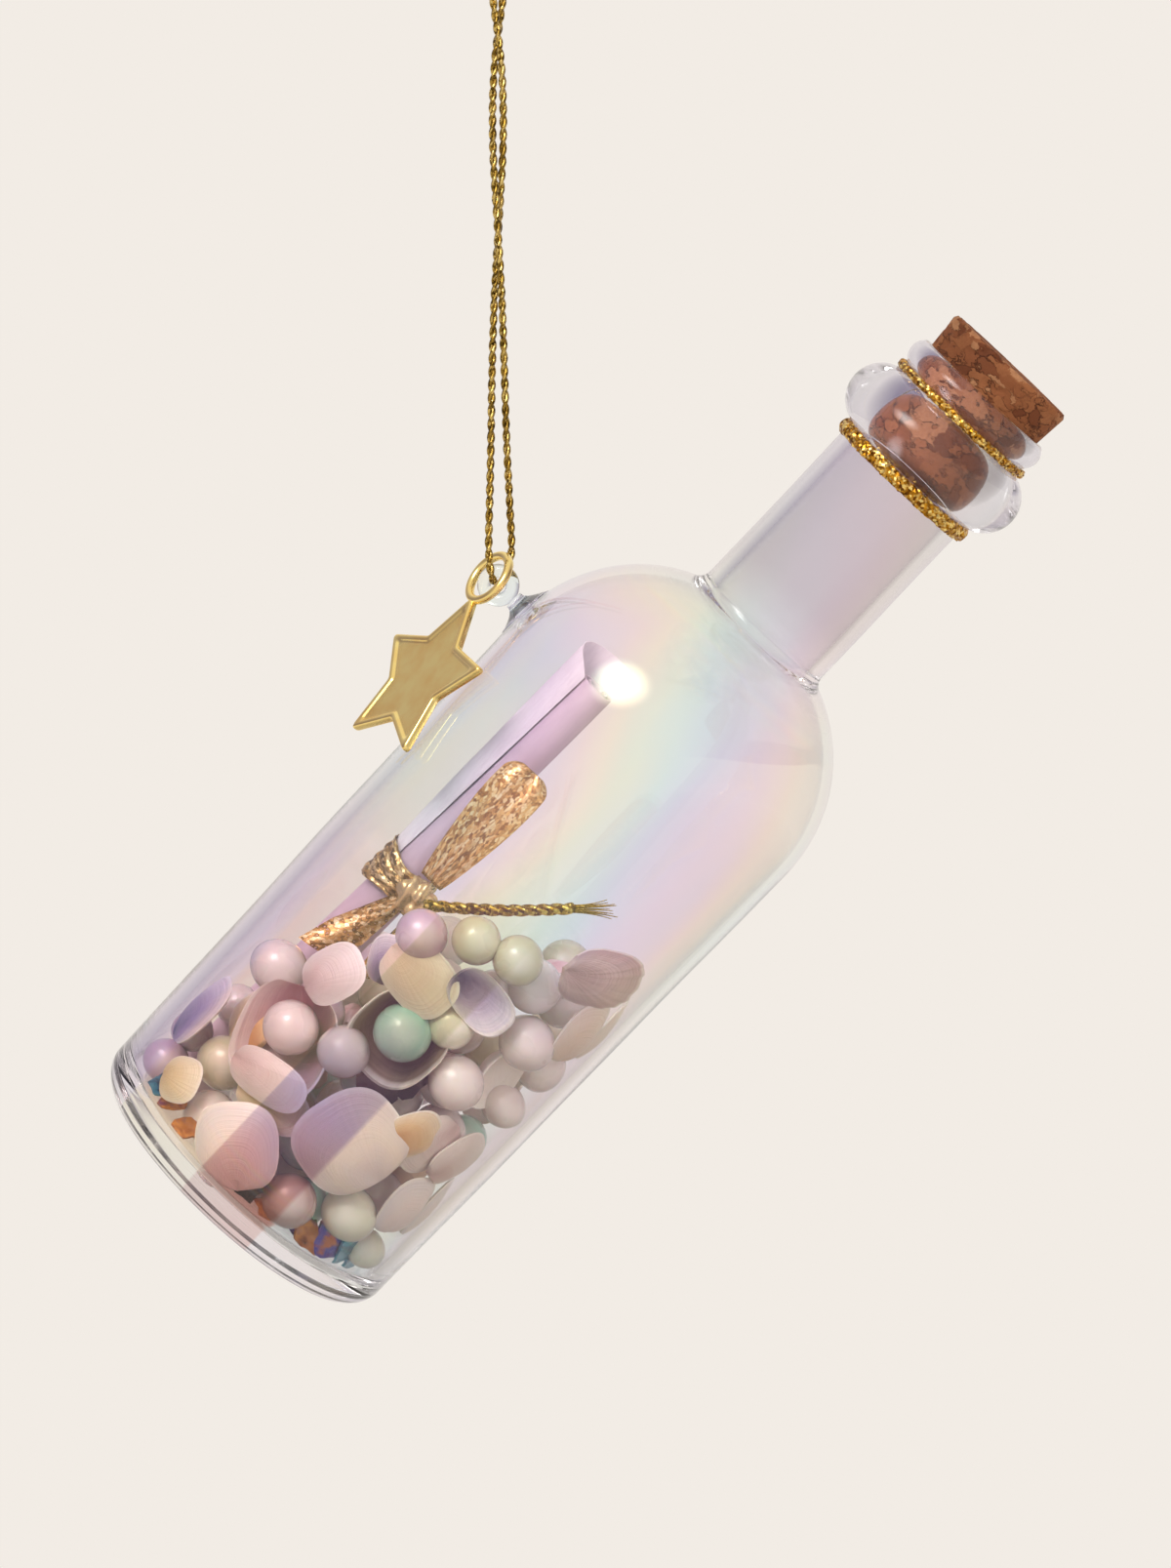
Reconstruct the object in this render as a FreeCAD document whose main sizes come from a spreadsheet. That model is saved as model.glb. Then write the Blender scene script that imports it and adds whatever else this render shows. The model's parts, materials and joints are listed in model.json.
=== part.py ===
"""A glass bottle ornament with a rolled message, pearls and shells, hung tilted from a gold cord."""

import FreeCAD
import Part
import Sketcher
import math
import os

from FreeCAD import Placement, Rotation, Vector

# Driving sizes, in millimetres and degrees.
# Heights on the bottle are measured along its axis from the underside of the base.
SIZES = {
    # How the bottle hangs
    "bottle_tilt": 43.5,
    "cord_drop": 63.9,
    # Glass bottle
    "base_radius": 18.6,
    "base_corner": 2.8,
    "base_thickness": 2.8,
    "body_radius": 19.15,
    "base_wall": 1.5,
    "shoulder_wall": 1.0,
    "body_height": 64.5,
    "shoulder_round": 17.0,
    "neck_radius": 7.9,
    "neck_root_round": 1.5,
    "neck_bore": 6.4,
    "ring_base": 102.6,
    "ring_height": 7.3,
    "ring_bulge": 3.05,
    "groove_height": 0.9,
    "flange_height": 3.0,
    "flange_bulge": 0.8,
    # Cork
    "cork_top_radius": 7.65,
    "cork_low_radius": 6.5,
    "cork_length": 13.2,
    "cork_stand": 3.9,
    "cork_edge": 0.4,
    "cork_clearance": 0.06,
    # Glitter bands
    "band_thickness": 0.7,
    "band_height": 1.5,
    "band_clearance": 0.05,
    # Eyelet
    "eyelet_height": 65.2,
    "eyelet_stand": 3.75,
    "eyelet_ring": 1.5,
    "eyelet_wire": 0.72,
    "eyelet_foot": 3.3,
    "eyelet_waist": 1.3,
    # Hanging cord
    "cord_diameter": 0.85,
    "cord_slack": 0.3,
    "cord_top": 1.3,
    "knot_gap": 0.15,
    "knot_radius": 1.2,
    "knot_height": 2.2,
    "knot_tail": 2.6,
    # Star tag
    "star_radius": 10.0,
    "star_waist": 5.3,
    "star_plate": 0.9,
    "star_rim": 0.9,
    "star_recess": 0.25,
    "star_ring_wire": 0.95,
    "star_ring_hole": 2.25,
    "star_ring_height": 12.4,
    "star_lean": 53.5,
    "star_slant": 18.0,
    "star_ring_out": 1.1,
    "star_ring_front": 0.9,
    # Message scroll
    "scroll_foot_radius": 3.6,
    "scroll_top_radius": 2.35,
    "scroll_top": 65.0,
    "scroll_sheet": 0.24,
    "scroll_pitch": 0.6,
    "scroll_turns": 2.3,
    "scroll_foot_side": 11.2,
    "scroll_top_side": 8.0,
    "scroll_foot_back": 2.0,
    "scroll_top_front": 2.0,
    # Ribbon
    "ribbon_width": 4.6,
    "ribbon_sheet": 0.35,
    "ribbon_clearance": 0.15,
    "ribbon_height": 36.5,
    "knot_across": 5.0,
    "knot_deep": 3.2,
    "knot_stand": 0.8,
    "knot_end_gap": 0.2,
    "loop_length": 15.0,
    "loop_deep": 2.6,
    "tail_length": 18.5,
    "tail_radius": 0.65,
    "left_tail_width": 3.8,
    "left_tail_length": 9.0,
    "right_tail_width": 2.8,
    "right_tail_length": 6.5,
    # Pearls and shells
    "pearl_diameter": 5.7,
    "shell_wall": 0.8,
    "fill_clearance": 0.3,
    "heap_level": 34.5,
    "heap_clearance": 0.04,
    "heap_shell": 5.4,
    "flake_across": 4.4,
    "flake_thickness": 0.3,
}

doc = FreeCAD.newDocument("message_in_a_bottle")
sheet = doc.addObject("Spreadsheet::Sheet", "sizes")
for row, (alias, value) in enumerate(SIZES.items(), start=1):
    sheet.set(f"A{row}", alias)
    sheet.set(f"B{row}", str(value))
    sheet.setAlias(f"B{row}", alias)
doc.recompute()

NODES = []


def size(alias):
    """The number in the sheet under this alias."""
    return float(sheet.get(alias))


def node(obj, label, placement):
    """Names a finished sub-part and puts it in its place."""
    obj.Label = label
    obj.Placement = placement
    NODES.append(obj)
    return obj


def feature(label, shape, placement):
    """A sub-part whose form comes from Part's own functions."""
    obj = doc.addObject("Part::Feature", label)
    obj.Shape = shape
    return node(obj, label, placement)


# Sketches


def origin_plane(body, role):
    return next(f for f in body.Origin.OriginFeatures if f.Role == role)


def new_sketch(body, name, role):
    sketch = body.newObject("Sketcher::SketchObject", name)
    sketch.AttachmentSupport = (origin_plane(body, role), "")
    sketch.MapMode = "FlatFace"
    return sketch


def arc_between(start, end, radius, side):
    """The shorter arc from start to end, with its centre to the left (side 1) or right (side -1)."""
    chord = end - start
    middle = (start + end) * 0.5
    left = Vector(-chord.y, chord.x, 0).normalize()
    reach = math.sqrt(max(radius**2 - (chord.Length / 2) ** 2, 0.0))
    centre = middle + left * (side * reach)
    first, last = (start, end) if side > 0 else (end, start)
    angles = [math.atan2(p.y - centre.y, p.x - centre.x) for p in (first, last)]
    if angles[1] < angles[0]:
        angles[1] += 2 * math.pi
    return Part.ArcOfCircle(Part.Circle(centre, Vector(0, 0, 1), radius), *angles)


def pin_corner(sketch, geometry, end, axis, expression):
    """Ties one coordinate of a corner to the sheet."""
    value = float(sketch.evalExpression(expression))
    kind = "DistanceX" if axis == "x" else "DistanceY"
    if abs(value) < 1e-9:
        across = -2 if axis == "x" else -1
        sketch.addConstraint(Sketcher.Constraint("PointOnObject", geometry, end, across))
    elif value > 0:
        index = sketch.addConstraint(Sketcher.Constraint(kind, -1, 1, geometry, end, value))
        sketch.setExpression(f"Constraints[{index}]", expression)
    else:
        index = sketch.addConstraint(Sketcher.Constraint(kind, geometry, end, -1, 1, -value))
        sketch.setExpression(f"Constraints[{index}]", f"-({expression})")


def draw_outline(sketch, corners, arcs=None):
    """Draws a closed outline whose corners, and the radii of whose arcs, follow the sheet.

    corners are pairs of expressions. arcs maps a corner's index to the radius expression and the side
    of the arc that leaves it; the other edges are straight.
    """
    arcs = arcs or {}
    points = [Vector(*(float(sketch.evalExpression(e)) for e in corner), 0) for corner in corners]
    edges = []
    for i, start in enumerate(points):
        end = points[(i + 1) % len(points)]
        if i in arcs:
            radius, side = arcs[i]
            curve = arc_between(start, end, float(sketch.evalExpression(radius)), side)
        else:
            curve = Part.LineSegment(start, end)
        geometry = sketch.addGeometry(curve, False)
        drawn = sketch.Geometry[geometry]
        forward = drawn.StartPoint.distanceToPoint(start) < drawn.EndPoint.distanceToPoint(start)
        edges.append((geometry, 1 if forward else 2, 2 if forward else 1))
    for i, (geometry, first, last) in enumerate(edges):
        following = edges[(i + 1) % len(edges)]
        sketch.addConstraint(Sketcher.Constraint("Coincident", geometry, last, following[0], following[1]))
    for (geometry, first, last), corner in zip(edges, corners):
        pin_corner(sketch, geometry, first, "x", corner[0])
        pin_corner(sketch, geometry, first, "y", corner[1])
    for i, (radius, side) in arcs.items():
        value = float(sketch.evalExpression(radius))
        index = sketch.addConstraint(Sketcher.Constraint("Radius", edges[i][0], value))
        sketch.setExpression(f"Constraints[{index}]", radius)


def turned_body(name, corners, arcs=None):
    """A body turned about the bottle's axis from an outline of (radius, height) corners."""
    body = doc.addObject("PartDesign::Body", name)
    sketch = new_sketch(body, f"{name}_profile", "XZ_Plane")
    draw_outline(sketch, corners, arcs)
    turned = body.newObject("PartDesign::Revolution", f"{name}_turned")
    turned.Profile = sketch
    turned.ReferenceAxis = (sketch, ["V_Axis"])
    turned.Angle = 360
    return body


# The bottle's place: the eyelet's hole hangs straight below the origin

TILT = Rotation(Vector(0, 1, 0), size("bottle_tilt"))
EYELET_OUT = size("body_radius") + size("eyelet_stand")
HOLE_ON_BOTTLE = Vector(-EYELET_OUT, 0, size("eyelet_height"))
HOLE = Vector(0, 0, -size("cord_drop"))
BOTTLE = Placement(HOLE - TILT.multVec(HOLE_ON_BOTTLE), TILT)


def on_bottle(place=None):
    """A placement given in the bottle's own coordinates."""
    return BOTTLE.multiply(place) if place else BOTTLE


# Heights and radii that several pieces share, as expressions on the sheet

RING_TOP = "(sizes.ring_base + sizes.ring_height)"
FLANGE_BASE = f"({RING_TOP} + sizes.groove_height)"
LIP = f"({FLANGE_BASE} + sizes.flange_height)"
CORK_FOOT = f"({LIP} + sizes.cork_stand - sizes.cork_length)"
CORK_TOP = f"({LIP} + sizes.cork_stand)"
CORK_SPREAD = "(sizes.cork_top_radius - sizes.cork_low_radius)"
CORK_AT_LIP = f"(sizes.cork_top_radius - {CORK_SPREAD} * sizes.cork_stand / sizes.cork_length)"


def glass_bottle():
    """The blown glass: thick base, drafted body, round shoulder, neck, ring and lip, open at the top."""
    centre = "(sizes.body_radius - sizes.shoulder_round)"
    root_radius = "(sizes.neck_radius + sizes.neck_root_round)"
    root_reach = "(sizes.shoulder_round + sizes.neck_root_round)"
    root_rise = f"sqrt({root_reach}^2 - ({root_radius} - {centre})^2)"
    root_height = f"(sizes.body_height + {root_rise})"
    share = f"(sizes.shoulder_round / {root_reach})"
    inner_round = "(sizes.shoulder_round - sizes.shoulder_wall)"
    bore_height = f"(sizes.body_height + sqrt({inner_round}^2 - (sizes.neck_bore - {centre})^2))"
    inner_corner = "(sizes.base_corner - sizes.base_wall / 2)"
    half_ring = "(sizes.ring_height / 2)"
    half_flange = "(sizes.flange_height / 2)"
    corners = [
        ("0", "0"),
        ("sizes.base_radius - sizes.base_corner", "0"),
        ("sizes.base_radius", "sizes.base_corner"),
        ("sizes.body_radius", "sizes.body_height"),
        (f"{centre} + ({root_radius} - {centre}) * {share}", f"sizes.body_height + {root_rise} * {share}"),
        ("sizes.neck_radius", root_height),
        ("sizes.neck_radius", "sizes.ring_base"),
        ("sizes.neck_radius", RING_TOP),
        ("sizes.neck_radius", FLANGE_BASE),
        ("sizes.neck_radius", LIP),
        (f"{CORK_AT_LIP} + sizes.cork_clearance", LIP),
        ("sizes.cork_low_radius + sizes.cork_clearance", CORK_FOOT),
        ("sizes.neck_bore", CORK_FOOT),
        ("sizes.neck_bore", bore_height),
        ("sizes.body_radius - sizes.shoulder_wall", "sizes.body_height"),
        ("sizes.base_radius - sizes.base_wall", f"sizes.base_thickness + {inner_corner}"),
        (f"sizes.base_radius - sizes.base_wall - {inner_corner}", "sizes.base_thickness"),
        ("0", "sizes.base_thickness"),
    ]
    arcs = {
        1: ("sizes.base_corner", 1),
        3: ("sizes.shoulder_round", 1),
        4: ("sizes.neck_root_round", -1),
        6: (f"({half_ring}^2 + sizes.ring_bulge^2) / (2 * sizes.ring_bulge)", 1),
        8: (f"({half_flange}^2 + sizes.flange_bulge^2) / (2 * sizes.flange_bulge)", 1),
        13: (inner_round, -1),
        15: (inner_corner, -1),
    }
    return node(turned_body("bottle_glass", corners, arcs), "glass_bottle", on_bottle())


def cork():
    """A tapered stopper with broken edges, seated in the flared mouth."""
    slope = f"({CORK_SPREAD} / sizes.cork_length)"
    corners = [
        ("0", CORK_FOOT),
        ("sizes.cork_low_radius - sizes.cork_edge", CORK_FOOT),
        (f"sizes.cork_low_radius + {slope} * sizes.cork_edge", f"{CORK_FOOT} + sizes.cork_edge"),
        (f"sizes.cork_top_radius - {slope} * sizes.cork_edge", f"{CORK_TOP} - sizes.cork_edge"),
        ("sizes.cork_top_radius - sizes.cork_edge", CORK_TOP),
        ("0", CORK_TOP),
    ]
    return node(turned_body("stopper", corners), "cork", on_bottle())


def glitter_band(label, low, high):
    """A ring of glitter glued round the neck, round on its outer side."""
    inner = "(sizes.neck_radius + sizes.band_clearance)"
    edge = f"({inner} + sizes.band_thickness / 2)"
    half = f"(({high} - {low}) / 2)"
    swell = "(sizes.band_thickness / 2)"
    corners = [(inner, low), (edge, low), (edge, high), (inner, high)]
    arcs = {1: (f"({half}^2 + {swell}^2) / (2 * {swell})", 1)}
    return node(turned_body(f"{label}_ring", corners, arcs), label, on_bottle())


def glass_eyelet(bottle):
    """A glass loop on a flared foot, cut to sit on the bottle's wall."""
    loop = doc.addObject("Part::Torus", "eyelet_loop")
    loop.setExpression("Radius1", "sizes.eyelet_ring")
    loop.setExpression("Radius2", "sizes.eyelet_wire")
    loop.Placement = Placement(HOLE_ON_BOTTLE, Rotation(Vector(1, 0, 0), 90))
    foot = doc.addObject("Part::Cone", "eyelet_foot")
    foot.setExpression("Radius1", "sizes.eyelet_foot")
    foot.setExpression("Radius2", "sizes.eyelet_waist")
    foot.setExpression("Height", "sizes.shoulder_wall / 2 + sizes.eyelet_stand - sizes.eyelet_ring")
    foot_in = size("body_radius") - size("shoulder_wall") / 2
    foot.Placement = Placement(Vector(-foot_in, 0, size("eyelet_height")), Rotation(Vector(0, 1, 0), -90))
    joined = doc.addObject("Part::Fuse", "eyelet_joined")
    joined.Base = loop
    joined.Tool = foot
    wall = doc.addObject("Part::Feature", "eyelet_seat")
    doc.recompute()
    seat = bottle.Shape.copy()
    seat.Placement = Placement()
    wall.Shape = seat
    seated = doc.addObject("Part::Cut", "eyelet_seated")
    seated.Base = joined
    seated.Tool = wall
    return node(seated, "glass_eyelet", on_bottle())


# The cord


def rounded_route(points):
    """A wire of straight runs joined by tangent arcs, and the arcs' radii."""
    edges = []
    radii = []
    start = points[0]
    for before, corner, after in zip(points, points[1:], points[2:]):
        back = (before - corner).normalize()
        ahead = (after - corner).normalize()
        half_turn = (math.pi - back.getAngle(ahead)) / 2
        cut = 0.45 * min(corner.distanceToPoint(before), corner.distanceToPoint(after))
        radius = cut / math.tan(half_turn)
        enter = corner + back * cut
        leave = corner + ahead * cut
        inward = (back + ahead).normalize()
        middle = corner + inward * (radius / math.cos(half_turn) - radius)
        edges.append(Part.LineSegment(start, enter).toShape())
        edges.append(Part.Arc(enter, middle, leave).toShape())
        radii.append(radius)
        start = leave
    edges.append(Part.LineSegment(start, points[-1]).toShape())
    return Part.Wire(edges), radii


def hanging_cord():
    """One length of metallic cord: up from the eyelet on both sides, wound loosely round itself."""
    reach = size("eyelet_wire") + size("cord_diameter") / 2 + size("cord_slack")
    drop = size("cord_drop")
    top = size("cord_top")
    # Offsets of the front strand from the line between eyelet and hook, and the share of the drop.
    front = [(-0.45, 0.0, None), (-0.98, 0.0, 0.011), (-0.3, -0.62, 0.072), (0.52, -0.42, 0.165)]
    front += [(0.58, 0.26, 0.28), (0.05, 0.62, 0.4), (-0.46, 0.46, 0.525), (-0.64, -0.02, 0.65)]
    front += [(-0.66, -0.55, 0.775), (-0.76, -1.0, 0.882), (-0.8, -reach, 0.954), (-0.3, -reach, 1.0)]
    points = []
    for x, y, share in front:
        points.append(Vector(x, y, top if share is None else -drop * share))
    # The rear strand mirrors the front one, and leans out to the right and back near the eyelet.
    lean = {0.954: (0.3, 0.75), 0.882: (0.2, 0.6), 0.775: (0.08, 0.2)}
    for x, y, share in reversed(front):
        right, back = lean.get(share, (0.0, 0.0))
        points.append(Vector(-x + right, -y + back, top if share is None else -drop * share))
    route, radii = rounded_route(points)
    print("cord arc radii", [round(r, 1) for r in radii])
    thick = size("cord_diameter")
    ring = Part.Wire(Part.makeCircle(thick / 2, points[0], points[1] - points[0]))
    tube = route.makePipeShell([ring], True, True)
    print("cord length", round(route.Length, 1), "volume", round(tube.Volume, 2))
    print("section by length", round(math.pi * thick**2 / 4 * route.Length, 2))
    return feature("hanging_cord", tube, Placement())


def cord_knot():
    """The overhand knot that closes the loop, with two short ends."""
    foot = size("cord_top") + size("knot_gap")
    radius = size("knot_radius")
    height = size("knot_height")
    barrel = Part.makeCone(radius * 0.75, radius, height * 0.4, Vector(0, 0, foot))
    cap = Part.makeCone(radius, radius * 0.6, height * 0.6, Vector(0, 0, foot + height * 0.4))
    knot = barrel.fuse(cap)
    for side in (-1, 1):
        start = Vector(radius / 4 * side, 0, foot + height * 0.6)
        lean = Vector(0.45 * side, 0, 1)
        tail = Part.makeCylinder(size("cord_diameter") / 2, size("knot_tail"), start, lean)
        knot = knot.fuse(tail)
    return feature("cord_knot", knot.removeSplitter(), Placement())


# The star tag


def star_corners(scale):
    """Expressions for the ten corners of a five-pointed star, tip up."""
    corners = []
    for k in range(10):
        reach = "sizes.star_radius" if k % 2 == 0 else "sizes.star_waist"
        turn = 90 + 36 * k
        corners.append((f"{scale} * {reach} * cos({turn})", f"{scale} * {reach} * sin({turn})"))
    return corners


def star_tag():
    """A five-pointed plate with a raised rim on its face and a ring at its upper tip."""
    edge = "sqrt(sizes.star_radius^2 + sizes.star_waist^2 - 2 * sizes.star_radius * sizes.star_waist * cos(36))"
    inset = f"(1 - sizes.star_rim * {edge} / (sizes.star_radius * sizes.star_waist * sin(36)))"
    body = doc.addObject("PartDesign::Body", "star")
    outline = new_sketch(body, "star_outline", "XY_Plane")
    draw_outline(outline, star_corners("1"))
    plate = body.newObject("PartDesign::Pad", "star_plate")
    plate.Profile = outline
    plate.setExpression("Length", "sizes.star_plate")
    ring = body.newObject("PartDesign::AdditiveTorus", "star_ring")
    ring.setExpression("Radius1", "sizes.star_ring_hole + sizes.star_ring_wire / 2")
    ring.setExpression("Radius2", "sizes.star_ring_wire / 2")
    ring.AttachmentSupport = (origin_plane(body, "XY_Plane"), "")
    ring.MapMode = "FlatFace"
    ring.setExpression("AttachmentOffset.Base.y", "sizes.star_ring_height")
    ring.setExpression("AttachmentOffset.Base.z", "sizes.star_plate / 2")
    face = new_sketch(body, "star_face", "XY_Plane")
    draw_outline(face, star_corners(inset))
    face.setExpression("AttachmentOffset.Base.z", "sizes.star_plate")
    recess = body.newObject("PartDesign::Pocket", "star_recess")
    recess.Profile = face
    recess.setExpression("Length", "sizes.star_recess")
    lean = math.radians(size("star_lean"))
    across = Vector(math.cos(lean), -math.sin(lean), 0)
    outward = Vector(-math.sin(lean), -math.cos(lean), 0)
    along = Vector(0, 0, 1)
    slant = math.radians(size("star_slant"))
    right = across * math.cos(slant) + along * math.sin(slant)
    up = across * -math.sin(slant) + along * math.cos(slant)
    ring_at = HOLE_ON_BOTTLE + Vector(-size("star_ring_out"), -size("star_ring_front"), 0)
    centre = ring_at - up * size("star_ring_height") - outward * (size("star_plate") / 2)
    print("star ring at", on_bottle().multVec(ring_at))
    return node(body, "star_tag", on_bottle(Placement(centre, Rotation(right, up, outward, "ZXY"))))


# The message and its ribbon, placed in the bottle's own coordinates

SCROLL_FOOT = Vector(
    -size("scroll_foot_side"), size("scroll_foot_back"), size("base_thickness") + 2 * size("fill_clearance")
)
SCROLL_TOP = Vector(-size("scroll_top_side"), -size("scroll_top_front"), size("scroll_top"))
SCROLL_AXIS = SCROLL_TOP - SCROLL_FOOT
SCROLL = Placement(SCROLL_FOOT, Rotation(Vector(0, 0, 1), SCROLL_AXIS))
SCROLL_STEPS = 24
SCROLL_SLOPE = (size("scroll_foot_radius") - size("scroll_top_radius")) / SCROLL_AXIS.Length


def scroll_radius(height):
    """Outer radius of the roll at a height above its foot."""
    return size("scroll_foot_radius") - SCROLL_SLOPE * height


def spiral_outline(scale, height):
    """The rolled sheet's edge at one end: the spiral's outer face, then its inner face back."""
    turns = size("scroll_turns")
    steps = round(SCROLL_STEPS * turns)
    sheet_thickness = size("scroll_sheet")
    points = []
    for inset, order in ((0.0, range(steps + 1)), (sheet_thickness, range(steps, -1, -1))):
        for step in order:
            angle = 2 * math.pi * turns * step / steps
            reach = size("scroll_foot_radius") - size("scroll_pitch") * turns * (1 - step / steps) - inset
            points.append(Vector(reach * math.cos(angle), reach * math.sin(angle), 0) * scale)
    outline = Part.makePolygon(points + points[:1])
    outline.translate(Vector(0, 0, height))
    return outline


def message_scroll():
    """A sheet of paper rolled a little over twice, wider at its foot."""
    shrink = size("scroll_top_radius") / size("scroll_foot_radius")
    roll = Part.makeLoft([spiral_outline(1.0, 0), spiral_outline(shrink, SCROLL_AXIS.Length)], True, True)
    return feature("message_scroll", roll, on_bottle(SCROLL))


RIBBON_SHARE = (size("ribbon_height") - SCROLL_FOOT.z) / SCROLL_AXIS.z
KNOT_OUT = size("ribbon_sheet") + size("knot_deep") / 2 + size("knot_stand")
KNOT_REACH = scroll_radius(RIBBON_SHARE * SCROLL_AXIS.Length) + KNOT_OUT
KNOT_WAY = Vector(0.55, -0.835, 0)
KNOT_AT = SCROLL_FOOT + SCROLL_AXIS * RIBBON_SHARE + KNOT_WAY * KNOT_REACH
KNOT_END = size("knot_across") / 2 + size("knot_end_gap")


def ribbon_wrap():
    """The ribbon where it goes round the scroll."""
    low = size("ribbon_height") - size("ribbon_width") / 2 - SCROLL_FOOT.z
    width = size("ribbon_width")
    sheet_thickness = size("ribbon_sheet")
    inner = [scroll_radius(h) + size("ribbon_clearance") for h in (low, low + width)]
    outside = Part.makeCone(inner[0] + sheet_thickness, inner[1] + sheet_thickness, width, Vector(0, 0, low))
    hollow = Part.makeCone(inner[0], inner[1], width, Vector(0, 0, low))
    return feature("ribbon_wrap", outside.cut(hollow), on_bottle(SCROLL))


def ribbon_knot():
    """The tied knot: a rounded lump with a hollow on its front."""
    half = "(sizes.knot_deep / 2)"
    corners = [
        ("0", f"-{half}"),
        ("sizes.knot_across / 2 * 0.7", f"-{half}"),
        ("sizes.knot_across / 2", "0"),
        ("sizes.knot_across / 2 * 0.7", half),
        ("sizes.knot_across / 2 * 0.4", half),
        ("0", f"{half} * 0.4"),
    ]
    arcs = {1: ("sizes.knot_deep * 0.9", 1), 2: ("sizes.knot_deep * 0.9", 1)}
    facing = Rotation(Vector(0, 0, 1), Vector(0.45, -0.89, 0.1))
    return node(turned_body("knot_lump", corners, arcs), "ribbon_knot", on_bottle(Placement(KNOT_AT, facing)))


def ribbon_loop():
    """The bow's upper loop: a flat band that goes up from the knot, turns over and comes back."""
    half = "(sizes.loop_deep / 2)"
    inner = f"({half} - sizes.ribbon_sheet)"
    bend = f"(sizes.loop_length - {half})"
    corners = [
        (half, "0"),
        (half, bend),
        ("0", "sizes.loop_length"),
        (f"-{half}", bend),
        (f"-{half}", "0"),
        (f"-{inner}", "0"),
        (f"-{inner}", bend),
        ("0", "sizes.loop_length - sizes.ribbon_sheet"),
        (inner, bend),
        (inner, "0"),
    ]
    arcs = {1: (half, 1), 2: (half, 1), 6: (inner, -1), 7: (inner, -1)}
    body = doc.addObject("PartDesign::Body", "bow_loop")
    sketch = new_sketch(body, "bow_loop_side", "YZ_Plane")
    draw_outline(sketch, corners, arcs)
    band = body.newObject("PartDesign::Pad", "bow_loop_band")
    band.Profile = sketch
    band.setExpression("Length", "sizes.ribbon_width")
    at = KNOT_AT + Vector(-size("ribbon_width") / 2, -size("loop_deep") / 2, KNOT_END)
    return node(body, "ribbon_upper_loop", on_bottle(Placement(at, Rotation())))


def ribbon_low_tail(side, start, turn):
    """A flat end of the ribbon hanging from the knot, cut on the slant."""
    half = size(f"{side}_tail_width") / 2
    length = size(f"{side}_tail_length")
    flat = [(-half, 0), (half, 0), (half, -length), (-half, -length + half)]
    outline = [Vector(x, 0, z) for x, z in flat]
    face = Part.Face(Part.makePolygon(outline + outline[:1]))
    strip = face.extrude(Vector(0, size("ribbon_sheet"), 0))
    at = KNOT_AT + start + Vector(0, 0, -KNOT_END)
    return feature(f"ribbon_lower_tail_{side}", strip, on_bottle(Placement(at, Rotation(Vector(0, 1, 0), turn))))


def ribbon_tail():
    """The long end of the ribbon, twisted into a thin roll that opens at its tip."""
    direction = Vector(0.732, 0, 0.682)
    start = KNOT_AT + Vector(0.5, -3.0, 0) + direction * 2.4
    radius = size("tail_radius")
    length = size("tail_length")
    roll = Part.makeCone(radius * 1.3, radius * 0.8, length * 0.4)
    opening = Part.makeCone(radius * 0.8, radius * 1.4, length * 0.6, Vector(0, 0, length * 0.4))
    shape = roll.fuse(opening)
    return feature("ribbon_tail", shape, on_bottle(Placement(start, Rotation(Vector(0, 0, 1), direction))))


# Pearls and shells, each seated at the inside of the glass


def inner_radius(height):
    """Inside radius of the body at a height."""
    low = size("base_radius") - size("base_wall")
    high = size("body_radius") - size("shoulder_wall")
    foot = size("base_thickness") + size("base_corner") - size("base_wall") / 2
    return low + (high - low) * (height - foot) / (size("body_height") - foot)


def outward_at(angle):
    """The direction from the axis to the wall, measured from the front towards the photo's right."""
    turn = math.radians(angle)
    return Vector(math.sin(turn), -math.cos(turn), 0)


# What already lies in the bottle, in its own coordinates: pearls as centre and radius, the rest as shapes
BALLS = []
SHAPES = []

# How a pearl without room is lifted: share of a pearl's diameter at each try, and the tries
LIFT_SHARE = 0.05
LIFT_TRIES = 40


def placed(form, place):
    """A copy of a form in another place."""
    copy = form.copy()
    copy.Placement = place
    return copy


def has_room(centre, radius, gap=0.0):
    """Whether a ball keeps a gap to all that already lies in the bottle."""
    if any(centre.distanceToPoint(other) < radius + room + gap for other, room in BALLS):
        return False
    point = Part.Vertex(centre)
    for shape in SHAPES:
        box = shape.BoundBox
        box.enlarge(radius)
        if box.isInside(centre) and point.distToShape(shape)[0] < radius + gap:
            return False
    return True


def pearl(label, angle, height, scale=1.0):
    """A pearl at the wall, lifted where a changed size leaves it no room."""
    radius = size("pearl_diameter") / 2 * scale
    lift = size("pearl_diameter") * LIFT_SHARE
    for step in range(LIFT_TRIES):
        level = height + lift * step
        reach = inner_radius(level) - size("fill_clearance") - radius
        centre = outward_at(angle) * reach + Vector(0, 0, level)
        if has_room(centre, radius):
            break
    BALLS.append((centre, radius))
    ball = doc.addObject("Part::Sphere", label)
    ball.setExpression("Radius", f"sizes.pearl_diameter / 2 * {scale}")
    return node(ball, label, on_bottle(Placement(centre, Rotation())))


SHELL_STATIONS = [(-0.5, 0.2, 0.4), (-0.36, 0.62, 0.86), (-0.08, 0.96, 1.0), (0.26, 0.92, 0.66), (0.5, 0.42, 0.16)]


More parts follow.
